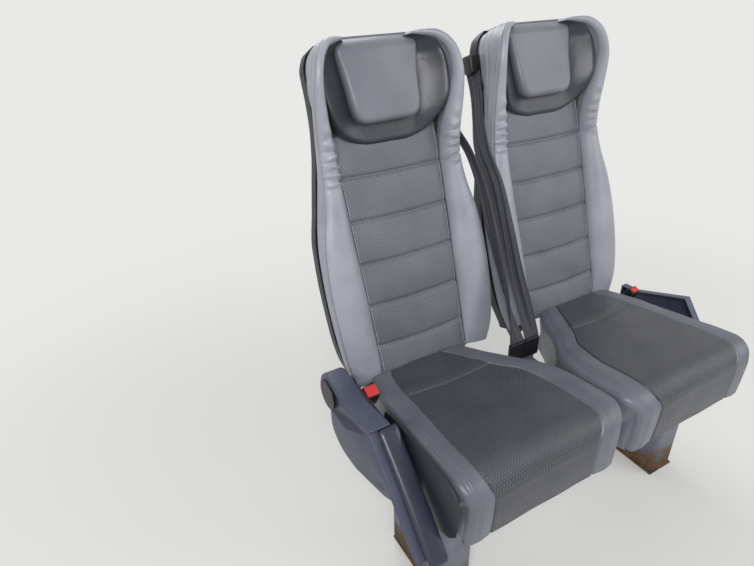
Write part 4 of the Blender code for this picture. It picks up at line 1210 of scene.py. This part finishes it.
def cushion_sides(seat, depth_share):
    outer, inner = smooth_table(CUSHION_SHARES, clamped(depth_share))
    outer *= CUSHION_OUTER
    inner *= CUSHION_INNER
    return (outer, inner) if seat == "aisle" else (inner, outer)


def cushion_profile(count):
    """Side view of the cushion's cover from its rear foot over the top to its front foot:
    y, z and the way out."""
    rear_y = FRONT_Y + CUSHION_DEPTH
    rear_z = CUSHION_BITE
    front_z = CUSHION_BITE + CUSHION_DEPTH * CUSHION_SLOPE
    slope = math.atan(CUSHION_SLOPE)
    corners = []
    rise = rear_z - CUSHION_REAR_DROP - CUSHION_FOOT_Z
    for t in spans([(0, 1, 5)]):
        corners.append((rear_y - CUSHION_REAR_INSET, CUSHION_FOOT_Z + rise * t))
    rear_y += CUSHION_REAR_TUCK
    for t in spans([(0, 1, 8)]):
        angle = (math.pi / 2 + slope) * t
        corners.append((
            rear_y - CUSHION_REAR_ROUND * (1 - math.cos(angle)),
            rear_z - CUSHION_REAR_ROUND * (1 - math.sin(angle)),
        ))
    start = corners[-1]
    centre_y = FRONT_Y + CUSHION_FALL
    top_z = front_z - CUSHION_FALL * CUSHION_SLOPE
    for t in spans([(0, 1, 60)])[1:-1]:
        corners.append((start[0] + (centre_y - start[0]) * t, start[1] + (top_z - start[1]) * t))
    for t in spans([(0, 1, 16)]):
        angle = CUSHION_FALL_TURN * t
        corners.append((
            centre_y - CUSHION_FALL * math.sin(angle), top_z - CUSHION_FALL * (1 - math.cos(angle))
        ))
    end = corners[-1]
    for t in spans([(0, 1, 12)])[1:]:
        corners.append((end[0] + CUSHION_FRONT_TUCK * t * t, end[1] + (CUSHION_FOOT_Z - end[1]) * t))
    found = evenly(corners, count)
    profile = []
    for i, (y, z) in enumerate(found):
        a = found[max(i - 2, 0)]
        b = found[min(i + 2, count)]
        run = math.dist(a, b)
        profile.append((y, z, (b[1] - a[1]) / run, -(b[0] - a[0]) / run))
    return profile


def make_cushion(seat):
    seat_x = JOINTS[f"recline_{seat}"]["pos_m"][0]
    count = 290
    profile = cushion_profile(count)
    insert_steps = 90
    border_steps = 32
    roll_steps = 8
    side_steps = 24
    side_count = side_steps + roll_steps + border_steps
    rows = []
    for i, (y, z, out_y, out_z) in enumerate(profile):
        left, right = cushion_sides(seat, (y - FRONT_Y) / CUSHION_DEPTH)
        least = CUSHION_LEAST_BORDER_SHARE
        narrowed = least + (1 - least) * min(1.0, (left + right) / CUSHION_FULL_WIDTH)
        borders = (CUSHION_BORDER * narrowed, CUSHION_INNER_BORDER * narrowed)
        left_border, right_border = borders if seat == "aisle" else borders[::-1]
        foot_y = FRONT_Y + CUSHION_DEPTH - CUSHION_REAR_FOOT_INSET
        foot_y -= (CUSHION_DEPTH - CUSHION_FOOT_SHORTER) * i / count
        foot_sides = cushion_sides(seat, (foot_y - FRONT_Y) / CUSHION_DEPTH)

        def lift(x):
            """How far the top stands out of the profile at a distance across."""
            half, border = (left, left_border) if x < 0 else (right, right_border)
            share = min(1.0, abs(x) / half)
            seam_x = half - border
            rise = CUSHION_CROWN * (1 - share ** 2) * max(0.0, out_z)
            rise -= CUSHION_SEAM * bell(abs(x) - seam_x, CUSHION_SEAM_WIDTH)
            rise += BORDER_SWELL * bell(abs(x) - (seam_x + half) / 2, BORDER_SWELL_WIDTH)
            for seam_in in EDGE_SEAMS_IN:
                rise -= EDGE_SEAM_DEPTH * bell(half - CUSHION_ROLL - seam_in - abs(x), EDGE_SEAM_WIDTH)
            behind_arc = y - FRONT_Y - ARC_SEAM_FROM_FRONT - ARC_SEAM_BOW * (x / half) ** 2
            if abs(x) < seam_x and out_z > 0.5:
                rise -= ARC_SEAM_DEPTH * bell(behind_arc, ARC_SEAM_WIDTH)
                rise += ARC_SEAM_DEPTH * bell(behind_arc - ARC_SWELL_BEHIND, ARC_SWELL_WIDTH)
            return rise + dents(CUSHION_DENTS, x, y)

        def top(x, sink=0.0):
            rise = lift(x) - sink
            return Vector((seat_x + x, y + out_y * rise, z + out_z * rise))

        flanks = []
        for sign, half, border, foot_half in (
            (-1, left, left_border, foot_sides[0]), (1, right, right_border, foot_sides[1])
        ):
            flat = half - CUSHION_ROLL
            seam_x = half - border
            flank = []
            for j in range(border_steps + 1):
                flank.append(top(sign * (seam_x + (flat - seam_x) * j / border_steps)))
            for j in range(1, roll_steps + 1):
                angle = math.pi / 2 * j / roll_steps
                x = flat + CUSHION_ROLL * math.sin(angle)
                flank.append(top(sign * x, CUSHION_ROLL * (1 - math.cos(angle))))
            edge = flank[-1]
            foot = Vector((seat_x + sign * (foot_half - CUSHION_FOOT_INSET), foot_y, CUSHION_FOOT_Z))
            for j in range(1, side_steps + 1):
                t = j / side_steps
                place = edge.lerp(foot, t)
                place.x += sign * CUSHION_SIDE_BULGE * math.sin(math.pi * t)
                flank.append(place)
            flanks.append(flank)
        row = flanks[0][::-1]
        low = -(left - left_border)
        high = right - right_border
        for j in range(1, insert_steps):
            # The steps are closer together at the two seams.
            t = j / insert_steps - 0.12 * math.sin(2 * math.pi * j / insert_steps)
            row.append(top(low + (high - low) * t))
        rows.append(row + flanks[1])

    def zone(j):
        return 1 if side_count <= j < side_count + insert_steps else 0

    finishes = ["cushion_border", "cushion_insert"]
    cushion = skin(f"seat_cushion_{seat}", rows, finishes, zone, around=True, caps=True)
    dress(cushion, "root", "leatherette_grey", f"cushion_{seat}", fill=0.8)


# Belts

def belt_stations(seat, side, to_row):
    """Places along a belt in the back's frame about the row's middle:
    across, forward to the rear, up, and turn."""
    out, y, z = SHEATH_PLACE
    start = to_row.inverted() @ Vector((ROW_X + side * out, y, z))
    stations = [(side * out, start.y, start.z, 0.0)]
    for up, forward, out, turn in BELT_WAY[seat]:
        stations.append((side * out, -HINGE_BEHIND_FACE - forward, HINGE_BELOW_BITE + up, math.radians(turn)))
    up = GUIDE_UP + BELT_INTO_GUIDE
    last_turn = stations[-1][3]
    stations.append((side * GUIDE_OUT, -HINGE_BEHIND_FACE - GUIDE_BEHIND, HINGE_BELOW_BITE + up, last_turn))
    return stations


def make_belt(seat, side):
    """One webbing from its sheath up to its guide, gathered into lengthwise folds."""
    hinge = JOINTS[f"recline_{seat}"]["pos_m"]
    to_row = Matrix.Translation((ROW_X, hinge[1], hinge[2])) @ Matrix.Rotation(-BACK_ANGLE, 4, "X")
    stations = belt_stations(seat, side, to_row)
    count = BELT_STEPS * (len(stations) - 1)
    columns = 30
    rows = []
    marks = []
    for i in range(count + 1):
        share = i / count
        x, y, z, turn = curve_through(stations, share)
        across = Vector((math.cos(turn), math.sin(turn), 0))
        normal = Vector((-math.sin(turn), math.cos(turn), 0))
        gathered = min(1.0, BELT_GATHER_RATE * share, BELT_GATHER_RATE * (1 - share))
        front = []
        rear = []
        for j in range(columns + 1):
            s = j / columns - 0.5
            wander = BELT_FOLD_WANDER[0] * math.sin(BELT_FOLD_WANDER[1] * share + side)
            waves = BELT_FOLD_WAVES[0] * s + wander
            fold = WEBBING_FOLD * gathered * math.sin(2 * math.pi * waves)
            waves = BELT_FOLD_WAVES[1] * s + BELT_SECOND_FOLD[1] * share
            fold += WEBBING_FOLD * gathered * BELT_SECOND_FOLD[0] * math.cos(2 * math.pi * waves)
            middle = Vector((x, y, z)) + across * WEBBING_WIDTH * s * (1 - BELT_NARROWED * gathered)
            front.append(to_row @ (middle + normal * (fold + WEBBING_THICKNESS / 2)))
            rear.append(to_row @ (middle + normal * (fold - WEBBING_THICKNESS / 2)))
            marks.append(WEBBING_WIDTH * s)
        marks += marks[-1:-columns - 2:-1]
        rows.append(front + rear[::-1])
    belt = skin(f"belt_webbing_{seat}", rows, ["webbing"], around=True, caps=True)
    across = belt.data.attributes.new("across", "FLOAT", "POINT")
    across.data.foreach_set("value", marks)
    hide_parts(f"webbing_lower_{seat}", f"webbing_upper_{seat}")
    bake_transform(belt)


def make_guide(seat, side, place):
    """The shoulder guide: a rounded block, seated on the shell's shoulder."""
    x = -side * (JOINTS["recline_window"]["pos_m"][0] - ROW_X - GUIDE_OUT)
    half = GUIDE_SIZE[0] / 2
    rear = HINGE_BEHIND_FACE + GUIDE_BEHIND + GUIDE_SIZE[1] / 2
    low = (x - half, -rear, HINGE_BELOW_BITE + GUIDE_UP)
    high = (x + half, -rear + GUIDE_SIZE[1], HINGE_BELOW_BITE + GUIDE_UP + GUIDE_SIZE[2])
    guide = rounded_box(f"shoulder_guide_{seat}", low, high, GUIDE_EDGE, "black", place)
    dress(guide, f"back_{seat}", "black_plastic", f"belt_guide_{seat}")


# Armrest, shield, skirt, buckle and legs

def arm_line(along, below):
    """A place on the dropped part of the arm: along it from the elbow and below its top."""
    return (
        ELBOW[0] - along * math.cos(ARM_DROP) + below * math.sin(ARM_DROP),
        ELBOW[1] - along * math.sin(ARM_DROP) - below * math.cos(ARM_DROP),
    )


def where_sway_starts(rear, front):
    """The place on a line of the side view where the side pieces start to bend in."""
    share = (rear[0] - SWAY_FROM) / (rear[0] - front[0])
    return (SWAY_FROM, rear[1] + (front[1] - rear[1]) * share)


def arm_underside(clearance):
    """The arm's lower edge from the knuckle to the drop, kept off by a clearance."""
    knuckle = (PIVOT[0], PIVOT[1] - KNUCKLE_RADIUS - clearance)
    corner = arm_line(ARM_DEPTH * ARM_CUT_SHARE, ARM_DEPTH + clearance)
    return [knuckle, where_sway_starts(knuckle, corner), corner]


def sway(piece, low_x=None, high_x=None):
    """Bends a side piece in towards the seat ahead of the knuckle.
    Between two depths the bend fades out."""
    for vertex in piece.data.vertices:
        ahead = (SWAY_FROM - vertex.co.y) / (SWAY_FROM - ELBOW[0])
        share = 1.0 if low_x is None else (high_x - vertex.co.x) / (high_x - low_x)
        vertex.co.x += ARM_SWAY * clamped(ahead) * share


def make_armrest():
    low = ROW_X - ARM_OUT[0]
    high = ROW_X - ARM_OUT[1]
    outline_yz = arc(PIVOT, KNUCKLE_RADIUS, -90, 90, 18)
    outline_yz += [where_sway_starts(outline_yz[-1], ELBOW), ELBOW, arm_line(0, ARM_DEPTH - ARM_BAR)]
    outline_yz += [arm_line(ARM_TIP, ARM_DEPTH - ARM_BAR), arm_line(ARM_TIP, ARM_DEPTH)]
    outline_yz += arm_underside(0.0)[:0:-1]
    arm = slab("armrest_moulding", outline_yz, low, high, "shield")
    sway(arm)
    round_edges(arm, ARM_EDGE, 4)
    dress(arm, "armrest", "shield_plastic", "arm_moulding")


def make_arm_pad():
    """The arm's soft pad: an oval bar on the dropped part, with rounded ends."""
    depth = ARM_DEPTH - ARM_BAR - ARM_PAD_GAP
    half = (ARM_PAD_OUT[0] - ARM_PAD_OUT[1]) / 2
    middle = ROW_X - (ARM_PAD_OUT[0] + ARM_PAD_OUT[1]) / 2
    narrow = ARM_PAD_END_WIDTH_SHARE
    low = ARM_PAD_END_DEPTH_SHARE
    steps = 40
    rows = []
    for i in range(steps + 1):
        along = ARM_PAD_GAP + (ARM_TIP + ARM_BAR) * i / steps
        from_end = min(i, steps - i) / steps
        swell = math.sqrt(max(0.0, 1 - max(0.0, 1 - from_end / ARM_PAD_END_SHARE) ** 2))
        row = []
        for across, below in arc((0.0, 0.0), 1.0, 0, 360, 40)[:-1]:
            out = math.copysign(abs(across) ** ARM_PAD_OVAL, across)
            down = math.copysign(abs(below) ** ARM_PAD_OVAL, below)
            lift = depth / 2 * (1 - down * (low + (1 - low) * swell))
            crown = ARM_PAD_CROWN * math.sin(math.pi * i / steps) * max(0.0, below)
            x = middle + half * (narrow + (1 - narrow) * swell) * out
            row.append(Vector((x, *arm_line(along, lift - crown))))
        rows.append(row)
    pad = skin("armrest_pad", rows, ["arm_pad"], around=True, caps=True)
    dress(pad, "armrest", "arm_pad", "arm_pad", fill=0.9)


def shield_outline():
    """The side shield: a curved foot, a nose under the arm and a cut along the arm's lower edge."""
    knuckle, bend, corner = arm_underside(ARM_CLEARANCE)
    below = ARM_DEPTH + ARM_CLEARANCE
    along = (arm_line(0, below)[1] - SHIELD_NOSE_Z) / math.sin(ARM_DROP)
    nose = arm_line(along, below)
    front_rise = (SHIELD_NOSE_Z - SHIELD_FOOT_Z) * SHIELD_FRONT_RISE_SHARE
    front_foot = (nose[0] + SHIELD_TURN[1], SHIELD_FOOT_Z + front_rise)
    rear_foot = [
        (SHIELD_REAR_Y + SHIELD_TURN[0] * (c - 1), SHIELD_FOOT_Z + SHIELD_TURN[1] * (s + 1))
        for c, s in arc((0, 0), 1, -90, 0, 10)
    ]
    found = [nose, front_foot, where_sway_starts(rear_foot[0], front_foot)]
    return found + rear_foot + [(SHIELD_REAR_Y, knuckle[1]), knuckle, bend, corner]


def make_shield():
    low = ROW_X - SHIELD_OUT[0]
    high = ROW_X - SHIELD_OUT[1]
    shield = slab("side_shield_cover", shield_outline(), low, high, "shield")
    bm = bmesh.new()
    bm.from_mesh(shield.data)
    opened = [face for face in bm.faces if face.normal.x > 0.9]
    bmesh.ops.inset_region(bm, faces=opened, thickness=SHIELD_WALL, use_even_offset=True)
    inner = bmesh.ops.extrude_discrete_faces(bm, faces=opened)["faces"]
    corners = {vertex for face in inner for vertex in face.verts}
    bmesh.ops.translate(bm, verts=list(corners), vec=(-(high - low - SHIELD_WALL), 0, 0))
    bmesh.ops.recalc_face_normals(bm, faces=bm.faces)
    bm.to_mesh(shield.data)
    bm.free()
    sway(shield, low, high)
    round_edges(shield, SHIELD_EDGE, 2)
    dress(shield, "root", "shield_plastic", "side_shield")


def make_skirt():
    """The dark plate between the armrest and the aisle cushion, its foot on the front beam."""
    outline_yz = [(SKIRT_TAB_Y[0], SKIRT_FOOT_Z)]
    outline_yz += [(FRONT_Y + SKIRT_DEPTH * y, SKIRT_FOOT_Z + SKIRT_HEIGHT * z) for y, z in SKIRT_SHARES]
    outline_yz.append((SKIRT_TAB_Y[1], SKIRT_FOOT_Z))
    skirt = slab("side_skirt", outline_yz, ROW_X - SKIRT_OUT[0], ROW_X - SKIRT_OUT[1], "shell")
    round_edges(skirt, SKIRT_EDGE, 2)
    dress(skirt, "root", "shell_plastic")


def make_buckle():
    """The aisle seat's buckle on its stalk, its red button facing up and forward."""
    place = Matrix.Translation(BUCKLE_TOP) @ Matrix.Rotation(BUCKLE_TILT, 4, "X")
    x, y = BUCKLE_HALF
    low = (-x, -y, -BUCKLE_LENGTH)
    body = rounded_box("buckle_housing_aisle", low, (x, y, 0), BUCKLE_EDGE, "black", place)
    dress(body, "root", "black_plastic", "buckle_aisle")
    x, y = BUTTON_HALF
    low = (-x, -y, -BUTTON_DEPTH)
    button = rounded_box("buckle_press_button_aisle", low, (x, y, BUTTON_PROUD), BUTTON_EDGE, "red", place)
    dress(button, "root", "buckle_red", "buckle_button_aisle")


def make_leg(side_name, x):
    """A folded sheet leg, open to the rear, on its sole."""
    half_x, half_y, height, wall = LEG
    corner = LEG_CORNER

    def folded(inset):
        right = [(half_x - inset, half_y)]
        right += arc((half_x - corner, -half_y + corner), corner - inset, 0, -90, 6)
        return [(-a, b) for a, b in right] + right[::-1]

    section = folded(0.0) + folded(wall)[::-1]
    rows = [[Vector((x + a, b, z)) for a, b in section] for z in (SOLE[2] / 2, height - wall / 2)]
    leg = skin(f"leg_sheet_{side_name}", rows, ["steel"], around=True, caps=True)
    settle(leg)
    dress(leg, "root", "painted_steel", f"leg_{side_name}")
    low = (x - half_x, -half_y, height - LID_THICKNESS)
    lid = rounded_box(f"leg_lid_{side_name}", low, (x + half_x, half_y, height), LID_EDGE, "steel")
    low = (x - SOLE[0], -SOLE[1], 0)
    sole = rounded_box(f"leg_sole_{side_name}", low, (x + SOLE[0], SOLE[1], SOLE[2]), SOLE_EDGE, "steel")
    for piece in (lid, sole):
        dress(piece, "root", "painted_steel")


for node_name, finish in {
    "beam_front": "steel", "beam_rear": "steel",
    "belt_anchor": "steel", "arm_bracket": "steel", "end_bracket": "steel",
    "rail_aisle_inner": "steel", "rail_aisle_outer": "steel",
    "rail_window_inner": "steel", "rail_window_outer": "steel",
    "back_frame_aisle": "steel", "back_frame_window": "steel",
    "window_end_cover": "shield", "arm_cap": "black",
    "pan_aisle": "black", "pan_window": "black",
    "buckle_window": "black", "buckle_button_window": "red",
    "buckle_stalk_aisle": "zinc", "buckle_stalk_window": "zinc",
    "belt_sheath_aisle": "black", "belt_sheath_window": "black",
}.items():
    mesh = frame["nodes"][node_name].data
    mesh.materials.clear()
    mesh.materials.append(FINISH[finish])
    crisp(mesh)

for seat, side in zip(SEATS, (-1, 1)):
    place = back_place(seat)
    make_core(seat, place)
    make_shell(seat, place)
    make_insert(seat, place)
    seams = make_bolster(seat, place, -1) + make_bolster(seat, place, 1)
    stitches("bolster", seat, seams, "dark_thread")
    make_collar(seat, place)
    make_head_pad(seat, place)
    make_cushion(seat)
    make_belt(seat, side)
    make_guide(seat, side, place)
    make_leg(seat, ROW_X + side * LEG_OUT)
make_armrest()
make_arm_pad()
make_shield()
make_skirt()
make_buckle()


# Studio

def make_lamp(name, place, disc, watts):
    data = bpy.data.lights.new(name, "AREA")
    data.shape = "DISK"
    data.size = disc
    data.energy = watts
    lamp = put(name, data)
    lamp.location = place
    lamp.rotation_euler = (Vector(LAMP_AIM) - Vector(place)).to_track_quat("-Z", "Y").to_euler()


def make_floor():
    mesh = bpy.data.meshes.new("studio_floor")
    reach = FLOOR_SIZE / 2
    corners = [(-reach, -reach, 0), (reach, -reach, 0), (reach, reach, 0), (-reach, reach, 0)]
    mesh.from_pydata(corners, [], [(0, 1, 2, 3)])
    mesh.materials.append(studio_floor())
    put("studio_floor", mesh)


def make_world():
    """A pale room: full strength where it is seen, and softer as light on the object."""
    world = bpy.data.worlds.new("studio")
    bpy.context.scene.world = world
    world.use_nodes = True
    tree = world.node_tree
    background = tree.nodes["Background"]
    background.inputs["Color"].default_value = linear(STUDIO_WHITE)
    strength = node(
        tree, "ShaderNodeMapRange", {"Value": seen_directly(tree), "To Min": AROUND_LIGHT, "To Max": 1.0}
    )
    tree.links.new(strength.outputs["Result"], background.inputs["Strength"])


def make_camera():
    data = bpy.data.cameras.new("camera")
    data.sensor_width = CAMERA_SENSOR
    data.lens = CAMERA_LENS
    camera = put("camera", data)
    camera.matrix_world = (
        Matrix.Translation(CAMERA_PLACE)
        @ Matrix.Rotation(-CAMERA_AZIMUTH, 4, "Z")
        @ Matrix.Rotation(math.pi / 2 - CAMERA_FALL, 4, "X")
        @ Matrix.Rotation(CAMERA_ROLL, 4, "Z")
    )
    bpy.context.scene.camera = camera


make_floor()
for lamp in LAMPS:
    make_lamp(*lamp)
make_world()
make_camera()
bpy.context.scene.view_settings.view_transform = "Standard"
bpy.context.view_layer.update()
